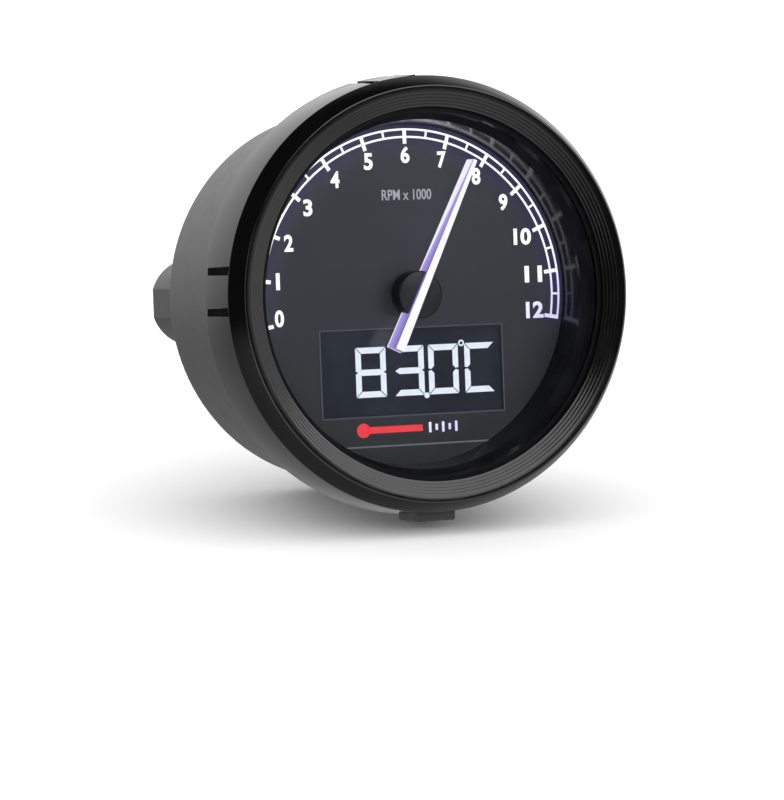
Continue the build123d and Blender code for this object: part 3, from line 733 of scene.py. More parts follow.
@dataclass(frozen=True)
class ClearSheet(Finish):
    """A thin clear sheet that only shows its gloss."""

    index: float = 1.45

    def dress(self, wiring: Wiring) -> None:
        """Fill in the shader's nodes.

        Args:
            wiring: the material's nodes.
        """
        clear = wiring.add("ShaderNodeBsdfTransparent")
        clear.inputs["Color"].default_value = (*self.colour, 1)
        gloss = wiring.add("ShaderNodeBsdfGlossy")
        smear = wiring.span(wiring.noise(8.0, 3), *NOISE_BAND, self.roughness, self.roughness + self.swing)
        wiring.join(smear, gloss.inputs["Roughness"])
        fresnel = wiring.add("ShaderNodeFresnel")
        fresnel.inputs["IOR"].default_value = self.index
        mix = wiring.add("ShaderNodeMixShader")
        wiring.join(fresnel.outputs[0], mix.inputs[0])
        wiring.join(clear.outputs[0], mix.inputs[1])
        wiring.join(gloss.outputs[0], mix.inputs[2])
        wiring.join(mix.outputs[0], wiring.output.inputs["Surface"])


BEZEL_GLOSS = Finish(
    "bezel_gloss", (0.0025, 0.0025, 0.0027), 0.13,
    Grain.POLISHED, 0.35, 0.001, 0.03, shade=0.12,
)
HOUSING_SATIN = Finish(
    "housing_satin", (0.020, 0.020, 0.021), 0.34,
    Grain.MOULDED, 0.10, 0.004, 0.02, shade=0.06,
)
RING_GLOSS = Finish(
    "ring_gloss", (0.022, 0.022, 0.027), 0.15,
    Grain.POLISHED, 0.5, 0.001, 0.03, specular=0.28,
)
LENS_CLEAR = ClearSheet("lens_sheet", (0.97, 0.98, 0.99), 0.01, Grain.POLISHED, swing=0.02)
GUIDE_FROST = Finish("guide_frost", (0.75, 0.77, 0.82), 0.35, Grain.POLISHED, 0.3, 0.003)
# The dial's print colour, with a painted glow and a painted haze in its emission.
DIAL_PRINT_PAINTED_GLOW = DialFace("dial_print_painted_glow", (0.020, 0.020, 0.025), 0.42, Grain.MOULDED, 0.06, 0.002, shade=0.1)
DISPLAY_GLASS = DisplayGlass("display_glass", (0.021, 0.022, 0.029), 0.14, Grain.POLISHED, 0.8, 0.001)
RUBBER_MATT = Finish("rubber_matt", (0.020, 0.020, 0.020), 0.75, Grain.MOULDED, 0.08, 0.010)
DIFFUSER_WHITE = Finish("diffuser_white", (0.82, 0.82, 0.83), 0.5, Grain.MOULDED, 0.15, 0.004, shade=0.05)
BOARD_MASK = Finish("board_mask", (0.020, 0.13, 0.055), 0.35, Grain.SPECKLED, 0.7, 0.006)
PACKAGE_BLACK = Finish("package_black", (0.028, 0.028, 0.030), 0.55, Grain.MOULDED, 0.05, 0.006)
TINNED = Finish("tinned", (0.72, 0.72, 0.70), 0.28, Grain.BRUSHED, 0.08, 0.003, metallic=1.0, shade=0.1)
DRAWN_CAN = Finish(
    "drawn_can", (0.74, 0.75, 0.77), 0.25,
    Grain.BRUSHED, 0.10, 0.003, metallic=1.0, shade=0.08,
)
NYLON_NATURAL = Finish("nylon_natural", (0.78, 0.75, 0.68), 0.5, Grain.MOULDED, 0.12, 0.005, shade=0.06)
LAMP_PACKAGE = Finish("lamp_package", (0.86, 0.82, 0.62), 0.3, Grain.POLISHED, 0.2, 0.003, shade=0.05)
ZINC_STEEL = Finish(
    "zinc_steel", (0.62, 0.62, 0.62), 0.3,
    Grain.BRUSHED, 0.08, 0.004, metallic=1.0, shade=0.12,
)
STEPPER_SHELL = Finish("stepper_shell", (0.035, 0.035, 0.040), 0.5, Grain.MOULDED, 0.12, 0.006)
ACETAL = Finish("acetal", (0.84, 0.83, 0.79), 0.38, Grain.POLISHED, 0.25, 0.003, shade=0.05)
FERRITE = Finish("ferrite", (0.070, 0.070, 0.075), 0.6, Grain.SPECKLED, 0.15, 0.010)
COPPER_WINDING = Finish("copper_winding", (0.72, 0.30, 0.13), 0.3, Grain.WOUND, 0.16, 0.05, metallic=1.0)
STRIPE_WHITE = LitInk("stripe_white", (0.98, 0.95, 1.0), 0.4, glow=1.05, faded=(0.98, 0.95, 1.0))
SCALE_WHITE = LitInk("scale_white", (1.0, 0.97, 1.0), 0.4, glow=1.15)
LABEL_GREY = LitInk("label_grey", (0.62, 0.63, 0.68), 0.4, glow=0.55, faded=(0.62, 0.63, 0.68))
SEGMENT_WHITE = LitInk("segment_white", (0.84, 0.90, 1.0), 0.4, glow=0.95, faded=(0.84, 0.90, 1.0))
ACCENT_RED = LitInk("accent_red", (1.0, 0.045, 0.06), 0.4, glow=0.85, faded=(1.0, 0.045, 0.06))
LINE_GREY = LitInk("line_grey", (0.30, 0.31, 0.36), 0.4, glow=0.38, faded=(0.30, 0.31, 0.36))
# Glowing grey for the painted highlight on the edge of the display window's recess.
EDGE_HIGHLIGHT_GREY = LitInk("edge_highlight_grey", (0.13, 0.14, 0.16), 0.4, glow=0.55, faded=(0.13, 0.14, 0.16))
POINTER_RESIN = PointerResin("pointer_resin", (0.5, 0.4, 0.9), 0.25, Grain.POLISHED)
HUB_SATIN = Finish("hub_satin", (0.020, 0.020, 0.023), 0.38, Grain.MOULDED, 0.08, 0.003)
BRASS_TURNED = Finish(
    "brass_turned", (0.78, 0.55, 0.22), 0.25,
    Grain.BRUSHED, 0.10, 0.004, metallic=1.0, shade=0.1,
)
# Near-black matt finish for the painted shade in the slits.
SLIT_SHADE_BLACK = Finish("slit_shade_black", (0.0025, 0.0025, 0.0025), 0.9, Grain.MOULDED, 0.1, 0.004, specular=0.05)
BORDER_BLACK = Finish("border_black", (0.002, 0.002, 0.0025), 0.5, Grain.MOULDED, 0.1, 0.002, specular=0.1)
BUTTON_SATIN = Finish("button_satin", (0.018, 0.018, 0.019), 0.45, Grain.MOULDED, 0.10, 0.006)

NODE_FINISHES: dict[str, Finish] = {
    "front_bezel": BEZEL_GLOSS, "lens": LENS_CLEAR, "lens_gasket": RUBBER_MATT, "dial_ring": RING_GLOSS,
    "housing_seal": RUBBER_MATT, "dial_plate": DIAL_PRINT_PAINTED_GLOW, "spacer_ring": DIFFUSER_WHITE,
    "light_guide": GUIDE_FROST, "lcd_frame": PACKAGE_BLACK, "lcd_glass": DISPLAY_GLASS,
    "lcd_backlight": DIFFUSER_WHITE, "lcd_pins": TINNED, "main_board": BOARD_MASK,
    "dial_leds": LAMP_PACKAGE, "control_chip": PACKAGE_BLACK, "clock_crystal": DRAWN_CAN,
    "voltage_regulator": PACKAGE_BLACK, "loom_socket": NYLON_NATURAL, "capacitors": DRAWN_CAN,
    "board_screws": ZINC_STEEL, "stepper_cover": STEPPER_SHELL, "stepper_case": STEPPER_SHELL,
    "gear_arbors": ZINC_STEEL, "output_gear": ACETAL, "idler_gear": ACETAL, "rotor_pinion": ACETAL,
    "rotor_magnet": FERRITE, "stator_plate": TINNED, "stepper_coils": COPPER_WINDING,
    "stepper_pins": TINNED, "pointer_shaft": ZINC_STEEL, "pointer_blade": POINTER_RESIN,
    "pointer_stripe": STRIPE_WHITE, "pointer_hub": HUB_SATIN, "rear_housing": HOUSING_SATIN,
    "mounting_inserts": BRASS_TURNED, "cable_grommet": RUBBER_MATT, "vent_plug": RUBBER_MATT,
    "adjust_button": BUTTON_SATIN, "button_boot": RUBBER_MATT, "switch_body": PACKAGE_BLACK,
    "switch_plunger": NYLON_NATURAL,
}


def paint(piece: bpy.types.Object, finish: Finish) -> bpy.types.Object:
    """Give every part of a piece one finish.

    Args:
        piece: a mesh object.
        finish: what it is made to look like.

    Returns:
        The same piece.
    """
    piece.data.materials.clear()
    piece.data.materials.append(finish.material())
    return piece


def fit(piece: bpy.types.Object, finish: Finish, body: str) -> bpy.types.Object:
    """Finish a new piece and set it on its body.

    Args:
        piece: the new piece.
        finish: what it is made to look like.
        body: the body that it moves with.

    Returns:
        The same piece.
    """
    paint(piece, finish)
    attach(piece, body)
    LOG.info("%s: %d faces on %s", piece.name, len(piece.data.polygons), body)
    return piece


# ---------------------------------------------------------------------------------------- bezel
@dataclass
class Bezel:
    """The gloss ring with its rounded edge, stepped slope, snap-tab slits and button notch."""

    outer: float = 32.0
    draft: float = 0.5
    bevel: tuple[float, float] = (1.55, 2.8)
    rim_land: float = 0.65
    rim_bevel: tuple[float, float] = (0.15, 0.13)
    steps: int = 5
    tread_share: float = 0.3
    opening: float = 26.9
    slope_depth: float = 1.2
    lip: float = 0.6
    skirt_inner: float = 30.4
    skirt_depth: float = 10.9
    crest: float = 0.09
    rim_round: float = 0.3
    shoulder_round: float = 0.35
    rear_round: float = 0.25
    inner_round: float = 0.1
    tab_angles: tuple[float, ...] = (98.5, 177.3, 2.7)
    tab_width: float = 4.6
    tab_slit: float = 1.25
    tab_root: float = 3.0
    notch_angle: float = 270.0
    notch_width: float = 6.4
    notch_front: float = 4.0
    hook: tuple[float, float, float] = (0.95, 1.0, 4.2)
    hook_front: float = 9.3
    hook_edge: float = 0.1
    hook_sunk: float = 0.2
    # Radii of the black strips that paint the shade inside the slits.
    filler: tuple[float, float] = (30.35, 31.5)
    filler_gap: float = 0.08
    filler_edge: float = 0.06
    cutter: float = 6.0
    overcut: float = 1.0

    def profile(self) -> Profile:
        """The ring's section, from the skirt's shoulder over the rim and round to the skirt's rear.

        Returns:
            Its (radius, depth) points in millimetres.
        """
        shoulder = self.outer - self.draft
        rim = shoulder - self.bevel[0]
        start = rim - self.rim_land - self.rim_bevel[0]
        tread = (start - self.opening) / self.steps
        drop = (self.slope_depth - self.rim_bevel[1]) / self.steps
        points = [
            (shoulder, self.bevel[1], self.shoulder_round),
            (rim, 0.0, self.rim_round),
            (start, self.rim_bevel[1], self.crest),
        ]
        for step in range(self.steps):
            radius, depth = start - (step + 1) * tread, self.rim_bevel[1] + step * drop
            points.append((radius, depth + self.tread_share * drop, self.crest))
            points.append((radius, depth + drop, 0.0))
        points += [
            (self.opening, self.slope_depth + self.lip, 0.0),
            (self.skirt_inner, self.slope_depth + self.lip, 0.0),
            (self.skirt_inner, self.skirt_depth, self.inner_round),
            (self.outer, self.skirt_depth, self.rear_round),
        ]
        return rounded(points, 5)

    def beside_tab(self, radius: float, angle: float, side: int, depth: float) -> Vector:
        """The middle of a slit beside a tab.

        Args:
            radius: its distance from the axis in millimetres.
            angle: the tab's direction in degrees.
            side: -1 for the slit clockwise of the tab, 1 for the other.
            depth: its depth in millimetres.

        Returns:
            The point in metres.
        """
        across = Vector((-sin(radians(angle)), 0, cos(radians(angle))))
        return on_dial(radius, angle, depth) + across * side * (self.tab_width + self.tab_slit) / 2 * MM

    def slits(self) -> list[bpy.types.Object]:
        """Cutters for the slits on both sides of each tab, and for the button's notch.

        Returns:
            The cutters.
        """
        length = self.skirt_depth - self.tab_root + self.overcut
        cutters = []
        for angle in self.tab_angles:
            for side in (-1, 1):
                middle = self.beside_tab(self.outer, angle, side, self.tab_root + length / 2)
                cutters.append(block("slit", (self.cutter, length, self.tab_slit), middle, angle))
        length = self.skirt_depth - self.notch_front + self.overcut
        middle = on_dial(self.outer, self.notch_angle, self.notch_front + length / 2)
        cutters.append(block("notch", (self.notch_width, length, self.cutter), middle))
        return cutters

    def fillers(self) -> list[bpy.types.Object]:
        """Matt black strips in the slits: painted shade that stands for the dark inside of each slit.

        Returns:
            Two strips for each tab.
        """
        inner, outer = self.filler
        front, back = self.tab_root + self.filler_gap, self.skirt_depth - self.filler_gap
        size = (outer - inner, back - front, self.tab_slit - 2 * self.filler_gap)
        strips = []
        for angle in self.tab_angles:
            for side in (-1, 1):
                middle = self.beside_tab((inner + outer) / 2, angle, side, (front + back) / 2)
                strips.append(block("filler", size, middle, angle, self.filler_edge))
        return strips

    def hooks(self) -> list[bpy.types.Object]:
        """The catches inside the tabs.

        Returns:
            One catch for each tab.
        """
        radius = self.skirt_inner + self.hook_sunk - self.hook[0] / 2
        middle = self.hook_front + self.hook[1] / 2
        return [
            block("hook", self.hook, on_dial(radius, angle, middle), angle, self.hook_edge)
            for angle in self.tab_angles
        ]

    def build(self) -> None:
        """Turn the ring, cut it and put it in place of its CAD node."""
        ring = turned("bezel_ring", self.profile(), 256)
        carved(ring, self.slits())
        ring = smooth(joined("bezel_ring", [ring, *self.hooks()]), 40)
        fit(ring, BEZEL_GLOSS, "case")
        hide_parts("front_bezel")
        # Black strips in the slits, as painted shade.
        fit(joined("slit_shade_strips", self.fillers()), SLIT_SHADE_BLACK, "case")


@dataclass
class LensBorder:
    """The black border printed on the lens."""

    inner: float = 26.2
    outer: float = 27.4
    ink: float = 0.03

    def build(self) -> None:
        """Print the border on the lens's front face."""
        face = depth_of(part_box("lens")[0].y)
        front = face - self.ink
        profile = [(self.inner, front), (self.outer, front), (self.outer, face), (self.inner, face)]
        fit(smooth(turned("lens_border", profile, 192)), BORDER_BLACK, "case")


@dataclass
class WallRing:
    """The gloss wall between the lens and the dial, in which the scale shows as a faint ghost."""

    points: tuple[tuple[float, float], ...] = ((25.3, 5.4), (26.55, 4.45), (26.75, 4.45), (25.6, 5.9))
    foot: float = 24.8
    foot_outer: float = 25.1
    gap: float = 0.02

    def build(self) -> None:
        """Turn the wall and set it in the dial ring."""
        face = depth_of(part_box("dial_plate")[0].y) - self.gap
        profile = [(self.foot, face), *self.points, (self.foot_outer, face)]
        fit(smooth(turned("wall_ring", profile, 256)), RING_GLOSS, "case")


@dataclass
class PointerHub:
    """The round cap in the middle of the pointer, over which only the stripe shows."""

    radius: float = 3.45
    front: float = 6.62
    front_round: float = 0.25
    rear_round: float = 0.1

    def build(self) -> None:
        """Turn the cap and put it in place of its CAD node."""
        back = depth_of(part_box("pointer_hub")[1].y)
        profile = rounded([
            (0.0, back, 0.0), (self.radius, back, self.rear_round),
            (self.radius, self.front, self.front_round), (0.0, self.front, 0.0),
        ])
        cap = smooth(turned("hub_cap", profile, 96), 40)
        fit(cap, HUB_SATIN, "pointer")
        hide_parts("pointer_hub")


# ---------------------------------------------------------------------------------------- dial
@dataclass
class DialPrint:
    """The scale, its numerals, the unit label and the small marks on the dial plate."""

    inner_line: float = 23.0
    outer_line: float = 24.1
    line: float = 0.30
    ink: float = 0.04
    zero_angle: float = 190.0
    step_angle: float = 16.664
    last: int = 12
    major_inner: float = 22.0
    major_width: float = 0.55
    minor_width: float = 0.32
    numeral_height: float = 2.45
    numeral_width: float = 1.4
    two_digit_width: float = 2.85
    narrow_share: float = 0.42
    numeral_weight: float = 0.035
    numeral_places: tuple[tuple[float, float], ...] = (
        (20.9, 187.5), (20.9, 172.8), (20.5, 156.8), (20.4, 140.1), (20.4, 123.4),
        (20.4, 106.8), (20.4, 90.0), (20.4, 73.4), (20.4, 56.4), (20.3, 40.0),
        (20.1, 23.2), (20.2, 6.6), (20.3, -8.4),
    )
    label: str = "RPM x 1000"
    label_weight: float = 0.012
    label_height: float = 14.6
    label_size: tuple[float, float] = (7.9, 1.55)
    bulb_place: tuple[float, float] = (-8.2, -19.5)
    bulb_radius: float = 1.05
    stem_size: tuple[float, float] = (9.0, 0.95)
    stem_offset: float = 4.9
    mark_count: int = 5
    mark_start: float = 2.4
    mark_pitch: float = 1.05
    mark_width: float = 0.38
    mark_heights: tuple[float, float] = (1.5, 0.9)
    chord: tuple[float, float] = (29.0, 0.22)
    chord_place: tuple[float, float] = (0.5, -21.9)
    window: tuple[float, float, float] = (29.1, 12.8, -11.2)
    # Width of the painted highlight along the edge of the window's recess.
    window_line: float = 0.14
    face: float = field(init=False)

    def __post_init__(self) -> None:
        """Take the dial's face from the frame."""
        self.face = depth_of(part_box("dial_plate")[0].y)

    def angle(self, value: float) -> float:
        """The direction of a value on the scale."""
        return self.zero_angle - value * self.step_angle

    def arc(self, radius: float) -> bpy.types.Object:
        """A printed line along the scale.

        Args:
            radius: its middle radius in millimetres.

        Returns:
            The line.
        """
        low, high = radius - self.line / 2, radius + self.line / 2
        front, back = self.face - self.ink, self.face
        profile = [(low, back), (low, front), (high, front), (high, back)]
        sweep = self.last * self.step_angle
        return turned("scale_arc", profile, 200, self.angle(self.last), sweep)

    def tick(self, value: float) -> bpy.types.Object:
        """A division of the scale: long at whole numbers, short between.

        Args:
            value: its place on the scale.

        Returns:
            The division.
        """
        whole = float(value).is_integer()
        inner = self.major_inner if whole else self.inner_line
        outer = self.outer_line + self.line / 2
        width = self.major_width if whole else self.minor_width
        middle = on_dial((inner + outer) / 2, self.angle(value), self.face - self.ink / 2)
        return block("tick", (outer - inner, self.ink, width), middle, self.angle(value))

    def numeral(self, value: int) -> bpy.types.Object:
        """The number beside a whole division, upright.

        Args:
            value: the number.

        Returns:
            The numeral.
        """
        width = self.numeral_width if value < 10 else self.two_digit_width
        if value == 1:
            width *= self.narrow_share
        radius, angle = self.numeral_places[value]
        place = on_dial(radius, angle, self.face - self.ink / 2)
        size = self.numeral_height, width
        return written("numeral", str(value), place, *size, self.numeral_weight, self.ink)

    def thermometer(self) -> list[bpy.types.Object]:
        """A plain lying thermometer under the display.

        Returns:
            Its bulb and its stem.
        """
        x, z = self.bulb_place
        length, height = self.stem_size
        place = Vector(((x + self.stem_offset) * MM, at_depth(self.face - self.ink / 2), z * MM))
        bulb = rod("bulb", self.bulb_radius, self.face - self.ink, self.face, self.bulb_place, 40)
        return [bulb, block("stem", (length, self.ink, height), place)]

    def divisions(self) -> list[bpy.types.Object]:
        """Small white divisions after the thermometer's stem.

        Returns:
            The divisions, from left to right.
        """
        marks = []
        for index in range(self.mark_count):
            height = self.mark_heights[index % 2]
            x = self.mark_start + self.mark_pitch * index
            place = Vector((x * MM, at_depth(self.face - self.ink / 2), self.bulb_place[1] * MM))
            marks.append(block("mark", (self.mark_width, self.ink, height), place))
        return marks

    def window_edge(self) -> list[bpy.types.Object]:
        """A fine glowing line round the display's window: a painted highlight on the edge of the window's
        recess.

        Returns:
            Its four sides.
        """
        width, height, middle = self.window
        bars = []
        for side in (-1, 1):
            place = Vector((side * width / 2 * MM, at_depth(self.face - self.ink / 2), middle * MM))
            bars.append(block("upright", (self.window_line, self.ink, height), place))
            place = Vector((0, place.y, (middle + side * height / 2) * MM))
            bars.append(block("level", (width, self.ink, self.window_line), place))
        return bars

    def build(self) -> None:
        """Print everything on the dial."""
        values = [step / 2 for step in range(2 * self.last + 1)]
        scale = [self.arc(radius) for radius in (self.inner_line, self.outer_line)]
        scale += [self.tick(value) for value in values]
        fit(joined("scale_marks", scale), SCALE_WHITE, "case")
        numerals = [self.numeral(value) for value in range(self.last + 1)]
        fit(joined("scale_numerals", numerals), SCALE_WHITE, "case")
        place = Vector((0, at_depth(self.face - self.ink / 2), self.label_height * MM))
        width, height = self.label_size
        label = written("unit_label", self.label, place, height, width, self.label_weight, self.ink)
        fit(label, LABEL_GREY, "case")
        fit(joined("temperature_sign", self.thermometer()), ACCENT_RED, "case")
        fit(joined("temperature_marks", self.divisions()), SCALE_WHITE, "case")
        # Painted highlight along the edge of the display window's recess.
        fit(joined("window_line", self.window_edge()), EDGE_HIGHLIGHT_GREY, "case")
        x, z = self.chord_place
        length, width = self.chord
        place = Vector((x * MM, at_depth(self.face - self.ink / 2), z * MM))
        fit(block("dial_chord", (length, self.ink, width), place), LINE_GREY, "case")


# ---------------------------------------------------------------------------------------- display
@dataclass
class Display:
    """The lit segments on the display's glass: two digits, a point, a digit and a degree sign with a C."""

    height: float = 7.3
    width: float = 4.8
    stroke: float = 0.88
    gap: float = 0.09
    blunt: float = 0.1
    middle_z: float = -11.1
    lefts: tuple[float, ...] = (-8.67, -2.58, 2.95, 8.8)
    letters: tuple[str, ...] = ("abcdefg", "abcdg", "abcdef", "adef")
    point: float = 0.42
    point_place: tuple[float, float] = (2.53, -14.85)
    degree: tuple[float, float] = (0.36, 0.12)
    degree_place: tuple[float, float] = (8.33, -7.4)
    ink: float = 0.03
    face: float = field(init=False)

    def __post_init__(self) -> None:
        """Take the glass's face from the frame."""
        self.face = depth_of(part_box("lcd_glass")[0].y)

    def segment(self, corners: Sequence[tuple[float, float]]) -> bpy.types.Object:
        """One segment, as a thin plate.

        Args:
            corners: its corners on the display's face, in millimetres.

        Returns:
            The segment.
        """
        clear_selection()
        front, back = at_depth(self.face - self.ink), at_depth(self.face)
        bpy.ops.mesh.primitive_circle_add(vertices=len(corners), radius=MM, fill_type="NGON",
                                          rotation=(radians(90), 0, 0))
        plate = bpy.context.object
        bpy.ops.object.transform_apply(location=True, rotation=True, scale=True)
        turning = sorted(plate.data.vertices, key=lambda vertex: atan2(vertex.co.z, vertex.co.x))
        middle_x = sum(x for x, _ in corners) / len(corners)
        middle_z = sum(z for _, z in corners) / len(corners)
        ordered = sorted(corners, key=lambda corner: atan2(corner[1] - middle_z, corner[0] - middle_x))
        for vertex, (x, z) in zip(turning, ordered):
            vertex.co = Vector((x * MM, front, z * MM))
        bpy.ops.object.mode_set(mode="EDIT")
        bpy.ops.mesh.select_all(action="SELECT")
        bpy.ops.mesh.extrude_region_move(TRANSFORM_OT_translate={"value": (0, back - front, 0)})
        bpy.ops.mesh.select_all(action="SELECT")
        bpy.ops.mesh.normals_make_consistent(inside=False)
        bpy.ops.object.mode_set(mode="OBJECT")
        return plate

    def digit(self, left: float, letters: str) -> list[bpy.types.Object]:
        """The lit segments of one digit: mitred bars with square outer corners.

        Args:
            left: the digit's left side in millimetres.
            letters: which segments are lit, named a to g as usual.

        Returns:
            The segments.
        """
        right = left + self.width
        low, high = self.middle_z - self.height / 2, self.middle_z + self.height / 2
        wide, half, cut, mid = self.stroke, self.stroke / 2, self.gap, self.middle_z
        blunt = cut + self.blunt
        shapes = {
            "a": ((left + cut, high), (right - cut, high), (right - wide - cut, high - wide),
                  (left + wide + cut, high - wide)),
            "d": ((left + cut, low), (right - cut, low), (right - wide - cut, low + wide),
                  (left + wide + cut, low + wide)),
            "g": ((left + blunt, mid), (left + wide, mid + half), (right - wide, mid + half),
                  (right - blunt, mid), (right - wide, mid - half), (left + wide, mid - half)),
            "f": ((left, high - cut), (left + wide, high - wide - cut), (left + wide, mid + half + cut),
                  (left + half, mid + cut), (left, mid + blunt)),
            "e": ((left, low + cut), (left + wide, low + wide + cut), (left + wide, mid - half - cut),
                  (left + half, mid - cut), (left, mid - blunt)),
            "b": ((right, high - cut), (right - wide, high - wide - cut), (right - wide, mid + half + cut),
                  (right - half, mid + cut), (right, mid + blunt)),
            "c": ((right, low + cut), (right - wide, low + wide + cut), (right - wide, mid - half - cut),
                  (right - half, mid - cut), (right, mid - blunt)),
        }
        return [self.segment(shapes[letter]) for letter in letters]

    def degree_ring(self) -> bpy.types.Object:
        """The small ring of the degree sign, pressed flat on the glass.

        Returns:
            The ring.
        """
        radius, line = self.degree
        x, z = self.degree_place
        clear_selection()
        bpy.ops.mesh.primitive_torus_add(
            major_radius=radius * MM, minor_radius=line * MM, major_segments=40, minor_segments=8,
            location=(x * MM, at_depth(self.face - self.ink / 2), z * MM), rotation=(radians(90), 0, 0),
        )
        ring = bpy.context.object
        bpy.ops.object.transform_apply(location=True, rotation=True, scale=True)
        bpy.ops.object.mode_set(mode="EDIT")
        bpy.ops.mesh.select_all(action="SELECT")
        bpy.ops.transform.resize(value=(1, self.ink / 2 / line, 1))
        bpy.ops.object.mode_set(mode="OBJECT")
        return ring

    def build(self) -> None:
        """Light the display."""
        bars = []
        for left, letters in zip(self.lefts, self.letters):
            bars += self.digit(left, letters)
        bars.append(rod("point", self.point, self.face - self.ink, self.face, self.point_place, 32))
        bars.append(self.degree_ring())
        fit(joined("display_segments", bars), SEGMENT_WHITE, "case")


# ---------------------------------------------------------------------------------------- studio
class Axis(Enum):
    """An axis of a direction, as the separated socket's number."""

    RIGHT = 0
    BACK = 1
    UP = 2


@dataclass(frozen=True)
class Ramp:
    """Brightness that changes along one axis of a direction."""

    axis: Axis
    low: float
    high: float
    at_low: float
    at_high: float


@dataclass(frozen=True)
class Glow:
    """A patch of the surroundings: the product of its ramps."""

    name: str
    ramps: tuple[Ramp, ...]


SURROUNDINGS = (
    Glow("wall_behind", (Ramp(Axis.BACK, 0.35, 0.75, 0, 1), Ramp(Axis.UP, -0.4, 0.42, 0.2, 1.4))),
    Glow("table", (Ramp(Axis.BACK, 0.3, -0.7, 0.2, 1), Ramp(Axis.UP, -0.1, -0.36, 0, 1.6))),
    Glow("right_wall", (Ramp(Axis.RIGHT, 0.52, 0.68, 0, 1.6), Ramp(Axis.UP, 0.35, 0.15, 0, 1),
                        Ramp(Axis.UP, -0.35, -0.15, 0, 1), Ramp(Axis.BACK, 0.5, 0.2, 0, 1))),
    Glow("left_strip", (Ramp(Axis.RIGHT, -0.45, -0.55, 0, 1.2), Ramp(Axis.BACK, -0.3, -0.4, 0, 1),
                        Ramp(Axis.UP, 0.5, 0.3, 0, 1))),
)


@dataclass(frozen=True)
class Softbox:
    """A soft rectangular light that points at the instrument.

    Its azimuth runs in degrees from the instrument's right towards its back, its elevation in degrees above
    it, its distance and size in metres, and its power in watts.
    """

    name: str
    azimuth: float
    elevation: float
    power: float
    distance: float = 0.9
    size: tuple[float, float] = (0.957, 0.88)

    def light(self) -> bpy.types.Object:
        """Put the light in its place.

        Returns:
            The light.
        """
        turn, rise = radians(self.azimuth), radians(self.elevation)
        place = Vector((cos(turn) * cos(rise), sin(turn) * cos(rise), sin(rise))) * self.distance
        clear_selection()
        bpy.ops.object.light_add(type="AREA", location=place)
        lamp = bpy.context.object
        lamp.name = self.name
        lamp.data.shape = "RECTANGLE"
        lamp.data.size, lamp.data.size_y = self.size
        lamp.data.energy = self.power
        lamp.rotation_euler = place.to_track_quat("Z", "Y").to_euler()
        return lamp


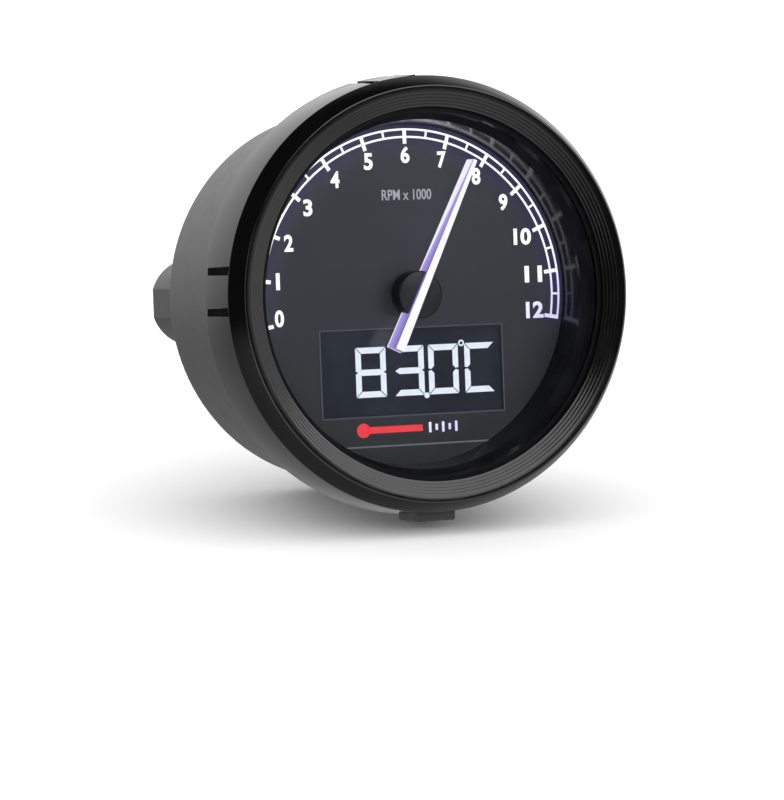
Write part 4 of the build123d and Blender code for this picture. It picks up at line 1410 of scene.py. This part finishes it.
@dataclass
class Studio:
    """The floor, the softboxes, the surroundings and the camera."""

    lean: float = 9.8
    clearance: float = 0.3
    toe: tuple[float, float] = (10.6, -32.9)
    floor_radius: float = 0.42
    floor_shift: float = -0.12
    paper: tuple[float, float] = (0.90, 0.92)
    camera_place: Vector = Vector((-221.35, -530.87, 3.07))
    azimuth: float = -23.695
    elevation: float = 1.934
    roll: float = -2.161
    lens: float = 167.48
    sensor: float = 36.0
    nearest: float = 0.01
    white: float = 1.35
    key: Softbox = Softbox("key_softbox", -56, 34, 7.9)
    fill: Softbox = Softbox("fill_light", -25, 62, 0.5)

    def camera(self) -> None:
        """Set up the camera."""
        az, el, roll = radians(self.azimuth), radians(self.elevation), radians(self.roll)
        back = Vector((sin(az) * cos(el), -cos(az) * cos(el), sin(el)))
        level = Vector((cos(az), sin(az), 0))
        upright = back.cross(level)
        right = level * cos(roll) + upright * sin(roll)
        up = upright * cos(roll) - level * sin(roll)
        clear_selection()
        bpy.ops.object.camera_add()
        camera = bpy.context.object
        camera.name = "studio_camera"
        turn = Matrix((right, up, back)).transposed().to_4x4()
        camera.matrix_world = Matrix.Translation(self.camera_place * MM) @ turn
        camera.data.lens = self.lens
        camera.data.sensor_width = self.sensor
        camera.data.clip_start = self.nearest
        bpy.context.scene.camera = camera

    def floor(self) -> None:
        """A white floor that the instrument leans on, foot of the bezel and heel of the housing."""
        depth, height = self.toe
        toe = Vector((0, at_depth(depth), height * MM))
        slope = Vector((0, cos(radians(self.lean)), sin(radians(self.lean))))
        normal = Vector((0, -slope.z, slope.y))
        centre = toe - normal * self.clearance * MM + slope * self.floor_shift
        clear_selection()
        bpy.ops.mesh.primitive_circle_add(
            vertices=96, radius=self.floor_radius, fill_type="NGON", location=centre,
            rotation=(radians(self.lean), 0, 0),
        )
        floor = bpy.context.object
        floor.name = "studio_floor"
        wiring = Wiring("floor_paper")
        darker, lighter = ((tone, tone, tone) for tone in self.paper)
        tone = wiring.blend(wiring.noise(40, 2), darker, lighter)
        wiring.join(tone, wiring.shader.inputs["Base Color"])
        wiring.shader.inputs["Roughness"].default_value = 0.9
        wiring.shader.inputs["Specular IOR Level"].default_value = 0.1
        floor.data.materials.append(wiring.material)
        floor.visible_glossy = False

    def mirrored(self, tree: bpy.types.NodeTree) -> bpy.types.NodeSocket:
        """The brightness of the surroundings that gloss mirrors, in each direction.

        Args:
            tree: the world's nodes.

        Returns:
            The sum of all the glows.
        """
        place = tree.nodes.new("ShaderNodeTexCoord")
        axes = tree.nodes.new("ShaderNodeSeparateXYZ")
        tree.links.new(place.outputs["Generated"], axes.inputs[0])

        def both(operation: str, sockets: Sequence[bpy.types.NodeSocket]) -> bpy.types.NodeSocket:
            """The sum or the product of these brightnesses."""
            result = sockets[0]
            for socket in sockets[1:]:
                node = tree.nodes.new("ShaderNodeMath")
                node.operation = operation
                tree.links.new(result, node.inputs[0])
                tree.links.new(socket, node.inputs[1])
                result = node.outputs[0]
            return result

        patches = []
        for glow in SURROUNDINGS:
            factors = []
            for ramp in glow.ramps:
                node = tree.nodes.new("ShaderNodeMapRange")
                node.interpolation_type = "SMOOTHSTEP"
                values = (ramp.low, ramp.high, ramp.at_low, ramp.at_high)
                for socket, value in zip(node.inputs[1:5], values):
                    socket.default_value = value
                tree.links.new(axes.outputs[ramp.axis.value], node.inputs[0])
                factors.append(node.outputs[0])
            patches.append(both("MULTIPLY", factors))
        return both("ADD", patches)

    def world(self) -> None:
        """White all round, with surroundings of their own for whatever is mirrored in the gloss."""
        world = bpy.data.worlds.new("studio_world")
        world.use_nodes = True
        world.cycles.sampling_method = "NONE"
        bpy.context.scene.world = world
        tree = world.node_tree
        white = tree.nodes["Background"]
        white.inputs["Color"].default_value = (1, 1, 1, 1)
        white.inputs["Strength"].default_value = self.white
        gloss = tree.nodes.new("ShaderNodeBackground")
        tree.links.new(self.mirrored(tree), gloss.inputs["Strength"])
        path = tree.nodes.new("ShaderNodeLightPath")
        mix = tree.nodes.new("ShaderNodeMixShader")
        tree.links.new(path.outputs["Is Glossy Ray"], mix.inputs[0])
        tree.links.new(white.outputs[0], mix.inputs[1])
        tree.links.new(gloss.outputs[0], mix.inputs[2])
        tree.links.new(mix.outputs[0], tree.nodes["World Output"].inputs["Surface"])
        bpy.context.scene.view_settings.view_transform = "Standard"

    def build(self) -> None:
        """Set the stage."""
        self.camera()
        self.floor()
        self.key.light().visible_diffuse = False
        self.fill.light().visible_glossy = False
        self.world()


def main() -> None:
    """Build the looks, sub-assembly by sub-assembly."""
    logging.basicConfig(level=logging.INFO, format="%(message)s")
    for node, finish in NODE_FINISHES.items():
        paint(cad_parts[node], finish)
        LOG.info("%s: dressed in %s", node, finish.name)
    Studio().build()
    Bezel().build()
    LensBorder().build()
    WallRing().build()
    PointerHub().build()
    DialPrint().build()
    Display().build()


if __name__ == "__main__":
    main()
